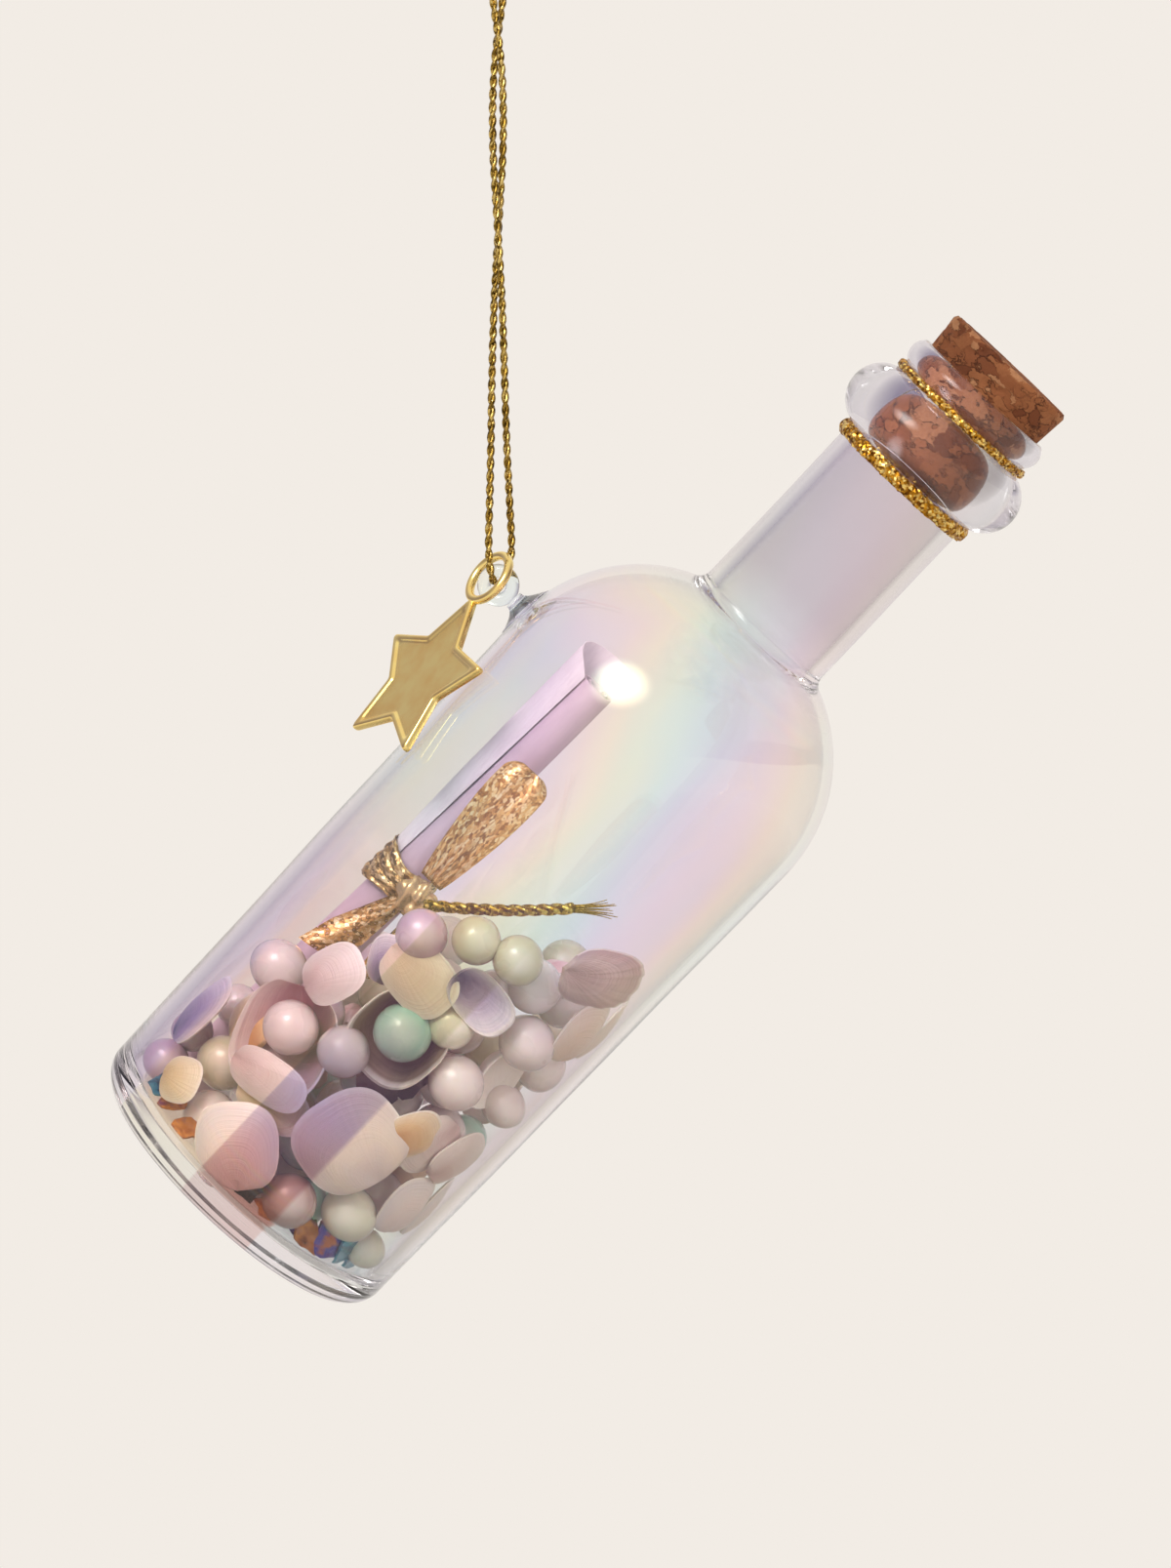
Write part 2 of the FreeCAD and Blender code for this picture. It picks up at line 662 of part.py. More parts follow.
def valve(length, width, depth):
    """One shell valve: crescent sections from the beak to the margin, hollow beneath."""
    wall = size("shell_wall")
    sections = []
    for along, spread, rise in SHELL_STATIONS:
        half = width / 2 * spread
        crown = depth * rise
        inner_half = max(half - wall, 0.5 * half)
        inner_crown = max(crown - wall, 0.4 * crown)
        y = length * along
        left, right = Vector(-half, y, 0), Vector(half, y, 0)
        inner_left, inner_right = Vector(-inner_half, y, 0), Vector(inner_half, y, 0)
        outer = Part.Arc(left, Vector(0, y, crown), right).toShape()
        inner = Part.Arc(inner_right, Vector(0, y, inner_crown), inner_left).toShape()
        rims = [Part.LineSegment(right, inner_right).toShape(), Part.LineSegment(inner_left, left).toShape()]
        sections.append(Part.Wire([outer, rims[0], inner, rims[1]]))
    return Part.makeLoft(sections, True, True)


def shell(label, measures, angle, height, spin, hollow_out=False, inset=0.0):
    """A valve against the wall, its round back to the glass or, with hollow_out, its hollow side."""
    length, width, depth = measures
    outward = outward_at(angle)
    tangent = Vector(-outward.y, outward.x, 0)
    turn = math.radians(spin)
    margin = Vector(0, 0, 1) * math.cos(turn) + tangent * math.sin(turn)
    wall = inner_radius(height) - size("fill_clearance")
    if hollow_out:
        reach = math.sqrt(wall**2 - (max(length, width) / 2) ** 2) - inset
        dome = outward * -1
    else:
        reach = wall - depth - inset
        dome = outward
    place = Placement(outward * reach + Vector(0, 0, height), Rotation(margin.cross(dome), margin, dome, "ZXY"))
    form = valve(length, width, depth)
    SHAPES.append(placed(form, place))
    return feature(label, form, on_bottle(place))


def cup_inset(measures, height, pearl_scale):
    """How far a cup steps back from the wall so that a pearl sits in its hollow, against the glass."""
    length, width, depth = measures
    wall = inner_radius(height) - size("fill_clearance")
    pearl_back = wall - size("pearl_diameter") * pearl_scale
    rim = pearl_back - size("fill_clearance") + depth - size("shell_wall")
    return math.sqrt(wall**2 - (max(length, width) / 2) ** 2) - rim


def heap_sites():
    """Centres of the loose pieces behind the front ones: close-packed layers up to a level surface."""
    radius = size("pearl_diameter") / 2
    pitch = 2 * (radius + size("heap_clearance"))
    row = pitch * math.sqrt(3) / 2
    layer = pitch * math.sqrt(2 / 3)
    floor = size("base_thickness") + size("flake_thickness") + size("fill_clearance")
    slope = math.tan(math.radians(size("bottle_tilt")))
    wide = math.ceil(size("body_radius") / row)
    sites = []
    for k in range(math.ceil(size("body_height") / layer)):
        for j in range(-wide, wide + 1):
            for i in range(-wide, wide + 1):
                x = pitch * (i + (j % 2 + k % 2) / 2)
                y = row * (j + k % 2 / 3)
                z = floor + radius + layer * k
                in_glass = math.hypot(x, y) + radius < inner_radius(z) - size("fill_clearance")
                if in_glass and z + radius < size("heap_level") + slope * x:
                    sites.append(Vector(x, y, z))
    return sites


HEAP_KINDS = ["pearl_heap_white", "pearl_heap_pink", "shell_heap_pink", "pearl_heap_cream"]
HEAP_KINDS += ["shell_heap_white", "pearl_heap_mint", "pearl_heap_lilac", "shell_heap_cream"]

# A small shell's width and depth against its length
HEAP_SHELL_WIDTH = 0.88
HEAP_SHELL_DEPTH = 0.33


def heap():
    """The loose pearls and small shells in the middle of the filling, one node for each kind.

    A small shell leans its margin on the nearest pearl.
    """
    radius = size("pearl_diameter") / 2
    length = size("heap_shell")
    width = length * HEAP_SHELL_WIDTH
    depth = length * HEAP_SHELL_DEPTH
    sites = [at for at in heap_sites() if has_room(at, radius, size("heap_clearance"))]
    kinds = [HEAP_KINDS[count % len(HEAP_KINDS)] for count in range(len(sites))]
    pearls = [centre for centre, room in BALLS]
    pearls += [at for at, kind in zip(sites, kinds) if kind.startswith("pearl")]
    groups = {kind: [] for kind in HEAP_KINDS}
    for at, kind in zip(sites, kinds):
        if kind.startswith("pearl"):
            piece = placed(Part.makeSphere(radius), Placement(at, Rotation()))
        else:
            margin = min(pearls, key=at.distanceToPoint) - at
            turn = Rotation(Vector(1, 0, 0), margin, Vector(0, -1, 0), "YZX")
            middle = turn.multVec(Vector(0, 0, depth / 2))
            piece = placed(valve(length, width, depth), Placement(at - middle, turn))
        groups[kind].append(piece)
    for kind, pieces in groups.items():
        feature(kind, Part.makeCompound(pieces), on_bottle())


def shell_flakes():
    """Chips of dark shell that lie on the floor of the bottle, in two rings."""
    half = size("flake_across") / 2
    floor = size("base_thickness") + size("heap_clearance")
    corner = size("base_corner") - size("base_wall") / 2
    outer = size("base_radius") - size("base_wall") - corner - size("flake_across") / 3 - half
    sides = 7
    chips = []
    for reach, count in ((outer, 2 * sides), (outer / 2, sides)):
        for k in range(count):
            corners = []
            for j in range(sides):
                turn = 2 * math.pi * j / sides
                out = half * (0.8 + 0.2 * math.sin(3 * k + 2 * j))
                corners.append(Vector(out * math.cos(turn), out * math.sin(turn), 0))
            face = Part.Face(Part.makePolygon(corners + corners[:1]))
            chip = face.extrude(Vector(0, 0, size("flake_thickness")))
            at = outward_at(360 * k / count) * reach + Vector(0, 0, floor)
            chips.append(placed(chip, Placement(at, Rotation())))
    return feature("shell_flakes", Part.makeCompound(chips), on_bottle())


# Name, angle round the bottle, height, size against the sheet's pearl
PEARLS = [
    ("pearl_pink", -24, 19.6, 1.0),
    ("pearl_mint", 11, 27.5, 1.05),
    ("pearl_rose", -52, 22.3, 1.0),
    ("pearl_white", 56, 34.5, 1.0),
    ("pearl_snow", 43, 26.9, 1.0),
    ("pearl_champagne", 24, 41.0, 0.9),
    ("pearl_lilac", -10, 36.2, 0.93),
    ("pearl_bronze", 25, 6.5, 1.0),
    ("pearl_green", 51, 9.0, 1.0),
    ("pearl_right", 92, 32.0, 0.95),
    ("pearl_small_right", 76, 27.2, 0.79),
    ("pearl_small_low", 76, 6.2, 0.74),
    ("pearl_violet", -70, 5.9, 0.84),
    ("pearl_rear_white", 155, 29.8, 1.0),
    ("pearl_rear_pink", 190, 31.8, 1.0),
    ("pearl_rear_mint", 104, 20.0, 0.95),
    ("pearl_rear_cream", 122, 35.0, 0.95),
]

PINK_CUP = (12.0, 11.4, 4.2)
DARK_CUP = (9.8, 9.4, 4.4)

# Name, length, width and depth, angle round the bottle, height, spin, hollow side out, step from the wall
SHELLS = [
    ("shell_pink_cup", PINK_CUP, -22, 18.1, 160, True, cup_inset(PINK_CUP, 18.1, 1.0)),
    ("shell_dark_cup", DARK_CUP, 11, 26.7, 185, True, cup_inset(DARK_CUP, 26.7, 1.05)),
    ("shell_pink_small", (7.0, 5.8, 2.0), -22, 27.2, 20, False, 0.0),
    ("shell_white_fan", (9.0, 8.8, 3.0), -5, 7.5, 0, False, 0.0),
    ("shell_lilac_fan", (10.6, 11.2, 3.4), 24, 15.8, -20, False, 0.0),
    ("shell_yellow", (5.4, 5.0, 1.8), -39, 7.6, 60, False, 0.0),
    ("shell_purple_edge", (8.8, 6.0, 2.0), -59, 13.4, 10, False, 0.0),
    ("shell_pale", (8.0, 6.0, 2.2), 84, 13.6, 0, False, 0.0),
    ("shell_pink_right", (7.0, 6.2, 2.0), 65, 20.6, 30, False, 0.0),
    ("shell_ribbed", (10.0, 7.0, 2.4), 52, 45.0, 75, False, 0.0),
    ("shell_cream", (8.0, 6.0, 2.2), 86, 39.6, 10, False, 0.0),
    ("shell_purple_small", (5.2, 4.4, 1.6), -15, 31.6, -30, False, 3.4),
    ("shell_rear_low", (11.0, 10.0, 3.2), 180, 8.6, 0, False, 0.0),
    ("shell_rear_right", (11.0, 10.0, 3.2), 137, 10.5, 30, False, 0.0),
    ("shell_rear_left", (10.0, 9.0, 3.0), 222, 13.0, -40, False, 0.0),
    ("shell_rear_middle", (11.0, 10.0, 3.4), 168, 20.6, 180, True, 0.0),
    ("shell_rear_upper", (9.0, 8.0, 2.6), 206, 23.6, 60, False, 0.0),
    ("shell_rear_top", (9.6, 8.8, 3.0), 130, 25.5, 200, False, 0.0),
]

bottle_node = glass_bottle()
cork()
glitter_band("glitter_band_upper", RING_TOP, FLANGE_BASE)
glitter_band("glitter_band_lower", "(sizes.ring_base - sizes.band_height)", "sizes.ring_base")
glass_eyelet(bottle_node)
hanging_cord()
cord_knot()
star_tag()
message_scroll()
ribbon_wrap()
ribbon_knot()
ribbon_loop()
ribbon_low_tail("left", Vector(-1.2, 0.3, 0), 16)
ribbon_low_tail("right", Vector(1.3, -0.6, 0), -6)
ribbon_tail()
shell_flakes()
doc.recompute()
for obj in NODES:
    if obj.Label.startswith(("message", "ribbon")):
        SHAPES.append(placed(obj.Shape, BOTTLE.inverse().multiply(obj.Placement)))
for entry in SHELLS:
    shell(*entry)
for entry in PEARLS:
    pearl(*entry)
heap()

doc.recompute()
broken = [obj.Name for obj in doc.Objects if "Invalid" in obj.State or "Error" in obj.State]
broken += [obj.Label for obj in NODES if obj.Shape.isNull() or not obj.Shape.isValid()]
if broken:
    raise RuntimeError(f"not built cleanly: {broken}")

os.makedirs("parts", exist_ok=True)
for obj in NODES:
    obj.Shape.exportStep(f"parts/{obj.Label}.step")
    print(obj.Label, round(obj.Shape.Volume, 1), len(obj.Shape.Solids))
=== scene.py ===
"""A message in a bottle: the finished look of a hanging opal-glass ornament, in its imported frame."""
import json
import math
import random

import bmesh
import bpy
from mathutils import Matrix, Vector, noise


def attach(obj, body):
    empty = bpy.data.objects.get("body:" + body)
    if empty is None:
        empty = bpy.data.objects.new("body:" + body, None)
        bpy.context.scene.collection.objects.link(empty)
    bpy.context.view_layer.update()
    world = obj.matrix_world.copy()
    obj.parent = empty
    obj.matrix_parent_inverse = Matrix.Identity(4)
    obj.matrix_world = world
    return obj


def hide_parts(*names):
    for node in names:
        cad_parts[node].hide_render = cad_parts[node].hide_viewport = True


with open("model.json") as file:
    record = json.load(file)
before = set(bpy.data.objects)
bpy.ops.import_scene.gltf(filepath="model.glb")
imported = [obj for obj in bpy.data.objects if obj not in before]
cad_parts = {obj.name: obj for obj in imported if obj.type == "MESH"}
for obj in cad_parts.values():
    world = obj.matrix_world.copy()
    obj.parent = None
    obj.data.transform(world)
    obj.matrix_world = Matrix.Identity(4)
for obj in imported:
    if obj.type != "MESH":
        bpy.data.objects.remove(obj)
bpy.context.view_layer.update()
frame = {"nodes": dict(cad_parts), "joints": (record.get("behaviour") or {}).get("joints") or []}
NODES = frame["nodes"]
JOINTS = {joint["name"]: joint for joint in frame["joints"]}

# Driving sizes in millimetres. The bottle's own frame has its base at the origin and its axis upwards.
MM = 0.001
BASE_RADIUS = 18.6
BASE_CORNER = 2.8
BASE_THICKNESS = 2.8
BASE_WALL = 1.5
BODY_RADIUS = 19.15
BODY_HEIGHT = 64.5
SHOULDER_WALL = 1.0
SHOULDER_ROUND = 17.0
NECK_RADIUS = 7.9
NECK_ROOT = 1.5
NECK_BORE = 6.4
RING_BASE = 102.6
RING_HEIGHT = 7.3
RING_BULGE = 3.05
GROOVE_HEIGHT = 0.9
FLANGE_HEIGHT = 3.0
FLANGE_BULGE = 0.8
CORK_TOP_RADIUS = 7.65
CORK_LOW_RADIUS = 6.5
CORK_LENGTH = 13.2
CORK_STAND = 3.9
CORK_CLEARANCE = 0.06
BAND_THICKNESS = 0.7
BAND_HEIGHT = 1.5
CORD_DIAMETER = 0.85
CORD_DROP = 63.9
EYELET_STAND = 3.75
EYELET_RING = 1.5
EYELET_WIRE = 0.72
EYELET_FOOT = 3.3
EYELET_NECK = 1.0
STAR_RADIUS = 10.0
STAR_WAIST = 5.3
STAR_PLATE = 0.9
STAR_RIM = 0.9
STAR_RECESS = 0.25
STAR_RING_WIRE = 0.95
STAR_RING_HOLE = 2.25
STAR_RING_HEIGHT = 12.4
STAR_LEAN = 53.5
STAR_SLANT = 18.0
STAR_RING_OUT = 1.1
STAR_RING_FRONT = 0.9
PEARL_DIAMETER = 5.7
FILL_CLEARANCE = 0.3

LIP_FOOT = RING_BASE + RING_HEIGHT + GROOVE_HEIGHT
LIP = LIP_FOOT + FLANGE_HEIGHT
CORK_FOOT = LIP + CORK_STAND - CORK_LENGTH
CORK_TOP = CORK_FOOT + CORK_LENGTH
RING_TOP = RING_BASE + RING_HEIGHT

# The bottle's place: it hangs at its eyelet, with its axis along the cork's pull
BOTTLE_AXIS = Vector(JOINTS["cork_pull"]["axis"]).normalized()
TILT = math.atan2(BOTTLE_AXIS.x, BOTTLE_AXIS.z)
HANG_POINT = Vector(JOINTS["bottle_rock"]["pos_m"])
EYELET_ON_BOTTLE = Vector((-22.9, 0.0, 65.2))
IN_BOTTLE = (
    Matrix.Translation(HANG_POINT)
    @ Matrix.Rotation(TILT, 4, "Y")
    @ Matrix.Scale(MM, 4)
    @ Matrix.Translation(-EYELET_ON_BOTTLE)
)
IN_WORLD = Matrix.Scale(MM, 4)
BASE_CENTRE = IN_BOTTLE @ Vector((0, 0, 0))


# Colours


def tone(red, green, blue):
    """A colour from its display values, 0 to 255, as the linear light that shaders take."""
    values = []
    for value in (red, green, blue):
        share = value / 255
        values.append(share / 12.92 if share <= 0.04045 else ((share + 0.055) / 1.055) ** 2.4)
    return (*values, 1.0)


BACKGROUND = tone(242, 236, 229)


# Node trees and materials


class Nodes:
    """A node tree being filled, with short ways to add nodes and link them."""

    def __init__(self, tree):
        self.tree = tree

    def feed(self, node, socket, value):
        """Sets a socket, or links it when the value is another node's output."""
        if isinstance(value, bpy.types.NodeSocket):
            self.tree.links.new(value, node.inputs[socket])
        else:
            node.inputs[socket].default_value = value

    def add(self, kind, inputs=None, **settings):
        node = self.tree.nodes.new("ShaderNode" + kind)
        for setting, value in settings.items():
            setattr(node, setting, value)
        for socket, value in (inputs or {}).items():
            self.feed(node, socket, value)
        return node

    def bottle_place(self):
        """Object coordinates in the bottle's frame, in millimetres."""
        sockets = {
            "Vector": self.add("TexCoord").outputs["Object"],
            "Location": BASE_CENTRE,
            "Rotation": (0, TILT, 0),
            "Scale": (MM, MM, MM),
        }
        return self.add("Mapping", sockets, vector_type="TEXTURE").outputs["Vector"]

    def stretched(self, source, scale):
        return self.add("Mapping", {"Vector": source, "Scale": scale}).outputs["Vector"]

    def uv(self):
        return self.add("TexCoord").outputs["UV"]

    def parts(self, vector):
        return self.add("SeparateXYZ", {"Vector": vector}).outputs

    def facing(self):
        """From 0 where a surface is seen square on to 1 at its outline."""
        return self.add("LayerWeight", {"Blend": 0.5}).outputs["Facing"]

    def noise(self, vector, scale, detail=3.0, roughness=0.55, output="Fac"):
        sockets = {"Vector": vector, "Scale": scale, "Detail": detail, "Roughness": roughness}
        return self.add("TexNoise", sockets).outputs[output]

    def cells(self, vector, scale, output="Color", feature="F1"):
        return self.add("TexVoronoi", {"Vector": vector, "Scale": scale}, feature=feature).outputs[output]

    def ramp(self, factor, *stops):
        node = self.add("ValToRGB", {"Fac": factor})
        elements = node.color_ramp.elements
        while len(elements) < len(stops):
            elements.new(0.5)
        for element, (place, colour) in zip(elements, stops):
            element.position = place
            element.color = colour
        return node.outputs["Color"]

    def math(self, operation, a, b=0.0, c=0.0):
        return self.add("Math", {0: a, 1: b, 2: c}, operation=operation).outputs[0]

    def between(self, value, low, high, new_low=0.0, new_high=1.0, ease="LINEAR"):
        sockets = {"Value": value, 1: low, 2: high, 3: new_low, 4: new_high}
        return self.add("MapRange", sockets, interpolation_type=ease).outputs[0]

    def mix(self, factor, a, b, blend="MIX"):
        return self.add("Mix", {0: factor, 6: a, 7: b}, data_type="RGBA", blend_type=blend).outputs[2]


class Group(Nodes):
    """A node group being made, with named inputs and the values they start with."""

    def __init__(self, name, **inputs):
        super().__init__(bpy.data.node_groups.new(name, "ShaderNodeTree"))
        for socket, value in inputs.items():
            kind = "Float" if isinstance(value, float) else {3: "Vector", 4: "Color"}[len(value)]
            made = self.tree.interface.new_socket(socket, in_out="INPUT", socket_type="NodeSocket" + kind)
            made.default_value = value
        self.given = self.tree.nodes.new("NodeGroupInput").outputs

    def gives(self, **outputs):
        """Names what the group gives: a colour, or else a number."""
        for socket in outputs:
            kind = "Color" if socket == "Color" else "Float"
            self.tree.interface.new_socket(socket, in_out="OUTPUT", socket_type="NodeSocket" + kind)
        end = self.tree.nodes.new("NodeGroupOutput")
        for socket, value in outputs.items():
            self.feed(end, socket, value)
        return self.tree


def soft_mottle_group():
    """Two colours that drift into each other over the surface, as on pearls, shells and paper."""
    group = Group("soft_mottle", Scale=200.0, Light=(1, 1, 1, 1), Deep=(0.5, 0.5, 0.5, 1))
    place = group.add("TexCoord").outputs["Object"]
    share = group.between(group.noise(place, group.given["Scale"], 2.5, 0.5), 0.32, 0.68)
    return group.gives(Color=group.mix(share, group.given["Light"], group.given["Deep"]), Fac=share)


def glint_group():
    """Small facets of metal thread or foil: a height, and a colour of painted glints and painted shade,
    that jump from facet to facet.
    """
    white, grey, dark = ((level, level, level, 1) for level in (1, 0.5, 0.1))
    group = Group("glint", Vector=(0, 0, 0), Scale=1.0, Bright=white, Middle=grey, Dark=dark)
    given = group.given
    facets = group.parts(group.cells(given["Vector"], given["Scale"]))
    lower = group.mix(group.between(facets["X"], 0.05, 0.5), given["Dark"], given["Middle"])
    upper = group.mix(group.between(facets["X"], 0.55, 0.95), lower, given["Bright"])
    return group.gives(Color=upper, Height=facets["Y"])


SOFT_MOTTLE = soft_mottle_group()
GLINT = glint_group()


class Finish(Nodes):
    """A material being made: a shader with its settings, and short ways to give it a surface."""

    def __init__(self, name, **sockets):
        self.material = bpy.data.materials.new(name)
        self.material.use_nodes = True
        super().__init__(self.material.node_tree)
        self.shader = self.tree.nodes["Principled BSDF"]
        for socket, value in sockets.items():
            self.feed(self.shader, socket.replace("_", " "), value)

    def colour(self, value):
        self.feed(self.shader, "Base Color", value)

    def emboss(self, height, strength, distance):
        """Lets the surface catch light as if it rose and sank."""
        sockets = {"Height": height, "Strength": strength, "Distance": distance}
        self.feed(self.shader, "Normal", self.add("Bump", sockets).outputs["Normal"])

    def mottled(self, scale, light, deep):
        sockets = {"Scale": scale, "Light": light, "Deep": deep}
        return self.add("Group", sockets, node_tree=SOFT_MOTTLE).outputs

    def glinting(self, vector, scale, tones, strength, distance):
        """Facets of metal at different heights, with painted glints and painted shade in a bright, a
        middle and a dark tone.
        """
        sockets = {"Vector": vector, "Scale": scale, **dict(zip(("Bright", "Middle", "Dark"), tones))}
        facets = self.add("Group", sockets, node_tree=GLINT).outputs
        self.colour(facets["Color"])
        self.emboss(facets["Height"], strength, distance)

    def give_way(self, share, other):
        """Lets another shader take the place of the surface's own, by a share."""
        both = self.add("MixShader", {0: share, 1: self.shader.outputs[0], 2: other}).outputs[0]
        self.feed(self.tree.nodes["Material Output"], "Surface", both)


# Runs of height on the bottle over which the look of its glass changes
FILM_FOOT = (5.5, 8.0)
FILM_TOP = (78.0, 75.0)
STREAKS = (0.0, 50.0)
STREAKS_TOP = (46.0, 34.0)
NECK_SHADE = (78.0, 86.0)


def opal_glass(name, film_share):
    """Clear blown glass under a thin lustre that shifts between pink, peach, mint, blue and lilac."""
    finish = Finish(
        name,
        Roughness=0.0,
        IOR=1.46,
        Transmission_Weight=1.0,
        Specular_IOR_Level=0.5,
        Thin_Film_IOR=1.55,
    )
    place = finish.bottle_place()
    across, depth, height = (finish.parts(place)[axis] for axis in "XYZ")
    drift = finish.noise(finish.stretched(place, (0.05, 0.05, 0.022)), 1.0, 1.5)
    film = finish.between(drift, 0.25, 0.75, 330.0, 620.0)
    # The film stops short of the thick corner at the base and the root of the neck, where light is caught
    coated = finish.math("MULTIPLY", finish.between(height, *FILM_FOOT), finish.between(height, *FILM_TOP))
    film = finish.math("MULTIPLY", finish.math("MULTIPLY", film, coated), film_share)
    finish.feed(finish.shader, "Thin Film Thickness", film)
    slant = finish.math("MULTIPLY_ADD", across, 0.05, finish.math("MULTIPLY", height, 0.012))
    phase = finish.math("FRACT", finish.math("MULTIPLY_ADD", drift, 1.6, slant))
    lustre = finish.ramp(
        phase,
        (0.0, tone(252, 243, 250)),
        (0.18, tone(255, 247, 243)),
        (0.34, tone(254, 252, 243)),
        (0.5, tone(243, 252, 248)),
        (0.68, tone(240, 248, 255)),
        (0.84, tone(246, 242, 254)),
        (1.0, tone(252, 243, 250)),
    )
    # Painted reflections: straight tinted streaks along the axis, on the front wall over the filling
    rise = finish.between(height, *STREAKS)
    streaks = tone(240, 233, 244)
    softness = 0.12
    for edge, *tints in (
        (-13.2, (0.1, tone(246, 236, 222)), (0.36, tone(246, 230, 228)), (0.7, tone(248, 239, 242))),
        (-2.4, (0.14, tone(216, 186, 180)), (0.34, tone(198, 188, 214)), (0.66, tone(228, 224, 202))),
        (6.5, (0.1, tone(236, 238, 240)), (0.3, tone(252, 246, 238)), (0.8, tone(250, 244, 244))),
    ):
        past = finish.between(across, edge - softness, edge + softness)
        streaks = finish.mix(past, streaks, finish.ramp(rise, *tints))
    front = finish.math("LESS_THAN", depth, 0.0)
    shown = finish.math("MULTIPLY", front, finish.between(height, *STREAKS_TOP))
    in_neck = finish.between(height, *NECK_SHADE, 0.0, 0.6)
    lustre = finish.mix(in_neck, lustre, tone(222, 215, 222))
    body = finish.mix(shown, lustre, streaks)
    facing = finish.facing()
    # Painted shade: towards its outline the glass turns a darker grey lilac
    rim = finish.between(facing, 0.55, 0.97, 0.0, 0.8)
    finish.colour(finish.mix(rim, body, tone(188, 180, 200)))
    # Lamp light passes, so that what is inside the glass is lit
    window = finish.add("BsdfTransparent", {"Color": tone(248, 244, 246)}).outputs[0]
    finish.give_way(finish.add("LightPath").outputs["Is Shadow Ray"], window)
    return finish.material


def cork_bark():
    """Pressed cork: warm brown flakes with dark cracks and pale grains."""
    finish = Finish("cork_bark", Roughness=0.78, Specular_IOR_Level=0.25)
    place = finish.bottle_place()
    swirl = finish.noise(finish.stretched(place, (0.35, 0.35, 0.6)), 1.0, 4.0, 0.6, "Color")
    bent = finish.mix(0.82, swirl, finish.stretched(place, (0.16, 0.16, 0.3)), "ADD")
    flakes = finish.cells(bent, 3.2)
    edges = finish.cells(bent, 3.2, "Distance", "DISTANCE_TO_EDGE")
    shade = finish.parts(flakes)["X"]
    body = finish.ramp(
        shade,
        (0.0, tone(112, 62, 38)),
        (0.35, tone(148, 88, 54)),
        (0.7, tone(172, 110, 70)),
        (1.0, tone(200, 144, 102)),
    )
    fine = finish.noise(place, 2.6, 5.0, 0.7)
    body = finish.mix(finish.between(fine, 0.35, 0.75, 0.0, 0.5), body, tone(128, 72, 46))
    crack = finish.between(edges, 0.0, 0.06, 1.0, 0.0)
    patch = finish.between(finish.noise(place, 0.3, 2.0), 0.42, 0.6)
    crack = finish.math("MULTIPLY", crack, patch)
    finish.colour(finish.mix(finish.math("MULTIPLY", crack, 0.85), body, tone(62, 30, 18)))
    height = finish.math("SUBTRACT", finish.math("MULTIPLY_ADD", fine, 0.4, shade), crack)
    finish.emboss(height, 0.7, 0.00018)
    return finish.material


def gold_glitter():
    """Loose gold glitter set in glue."""
    finish = Finish("gold_glitter", Metallic=1.0, Roughness=0.24)
    tones = tone(255, 226, 140), tone(206, 146, 40), tone(112, 66, 14)
    finish.glinting(finish.bottle_place(), 3.4, tones, 0.9, 0.0003)
    return finish.material


def star_gold(name, roughness, grain):
    """Stamped brass: bright on the rim, sanded to a satin grain on the face."""
    finish = Finish(name, Metallic=1.0, Roughness=roughness)
    place = finish.add("TexCoord").outputs["Object"]
    wear = finish.mottled(420.0, tone(255, 232, 152), tone(250, 214, 132))
    finish.colour(wear["Color"])
    speck = finish.noise(place, 9000.0, 2.0, 0.8)
    finish.emboss(speck, grain, 0.00005)
    return finish.material


def gold_thread(name, tones, along):
    """Flat metal thread, seen as short facets along the yarn."""
    finish = Finish(name, Metallic=1.0, Roughness=0.3)
    finish.glinting(finish.stretched(finish.uv(), along), 1.0, tones, 0.6, 0.00012)
    return finish.material


def ribbon_net(name, tones, along, open_share):
    """Knitted metal ribbon: glinting loops with gaps that show what is behind."""
    finish = Finish(name, Metallic=0.75, Roughness=0.26)
    weave = finish.stretched(finish.uv(), along)
    finish.glinting(weave, 1.0, tones, 0.85, 0.00025)
    edge = finish.cells(weave, 1.0, "Distance", "DISTANCE_TO_EDGE")
    holes = finish.math("GREATER_THAN", edge, open_share)
    finish.feed(finish.shader, "Alpha", finish.math("SUBTRACT", 1.0, holes))
    return finish.material


def lilac_paper(name, light, deep, foot):
    """Thin lilac paper, of another tone towards its foot, with fibres and a faint crumple."""
    finish = Finish(name, Roughness=0.62)
    place = finish.bottle_place()
    height = finish.parts(place)["Z"]
    mottle = finish.mottled(160.0, light, deep)
    lower = finish.mix(finish.between(height, 62.0, 30.0, 0.0, 0.55), mottle["Color"], foot)
    fibre = finish.noise(finish.stretched(place, (1.0, 1.0, 0.2)), 3.0, 4.0, 0.7)
    finish.colour(finish.mix(finish.between(fibre, 0.45, 0.75, 0.0, 0.25), lower, tone(196, 172, 196)))
    finish.emboss(fibre, 0.25, 0.0001)
    return finish.material


def pearl_coat(name, light, deep):
    """Pearl lacquer over a bead: a painted highlight where it faces the viewer, painted shade towards its
    outline, a satin highlight and a faint rainbow.
    """
    finish = Finish(
        name,
        Roughness=0.27,
        Specular_IOR_Level=0.8,
        Subsurface_Weight=0.2,
        Subsurface_Scale=0.0015,
        Coat_Weight=1.0,
        Coat_Roughness=0.15,
        Thin_Film_Thickness=420.0,
        Thin_Film_IOR=1.7,
    )
    mottle = finish.mottled(260.0, light, deep)
    facing = finish.facing()
    # Painted highlight: near white where the bead faces the viewer; painted shade: darker towards its
    # outline
    glow = finish.mix(finish.between(facing, 0.3, 0.0, 0.0, 0.4), mottle["Color"], tone(255, 252, 248))
    shade = finish.mix(1.0, deep, tone(214, 204, 206), "MULTIPLY")
    finish.colour(finish.mix(finish.between(facing, 0.35, 1.0, 0.0, 0.85), glow, shade))
    finish.feed(finish.shader, "Roughness", finish.between(mottle["Fac"], 0.0, 1.0, 0.24, 0.34))
    return finish.material


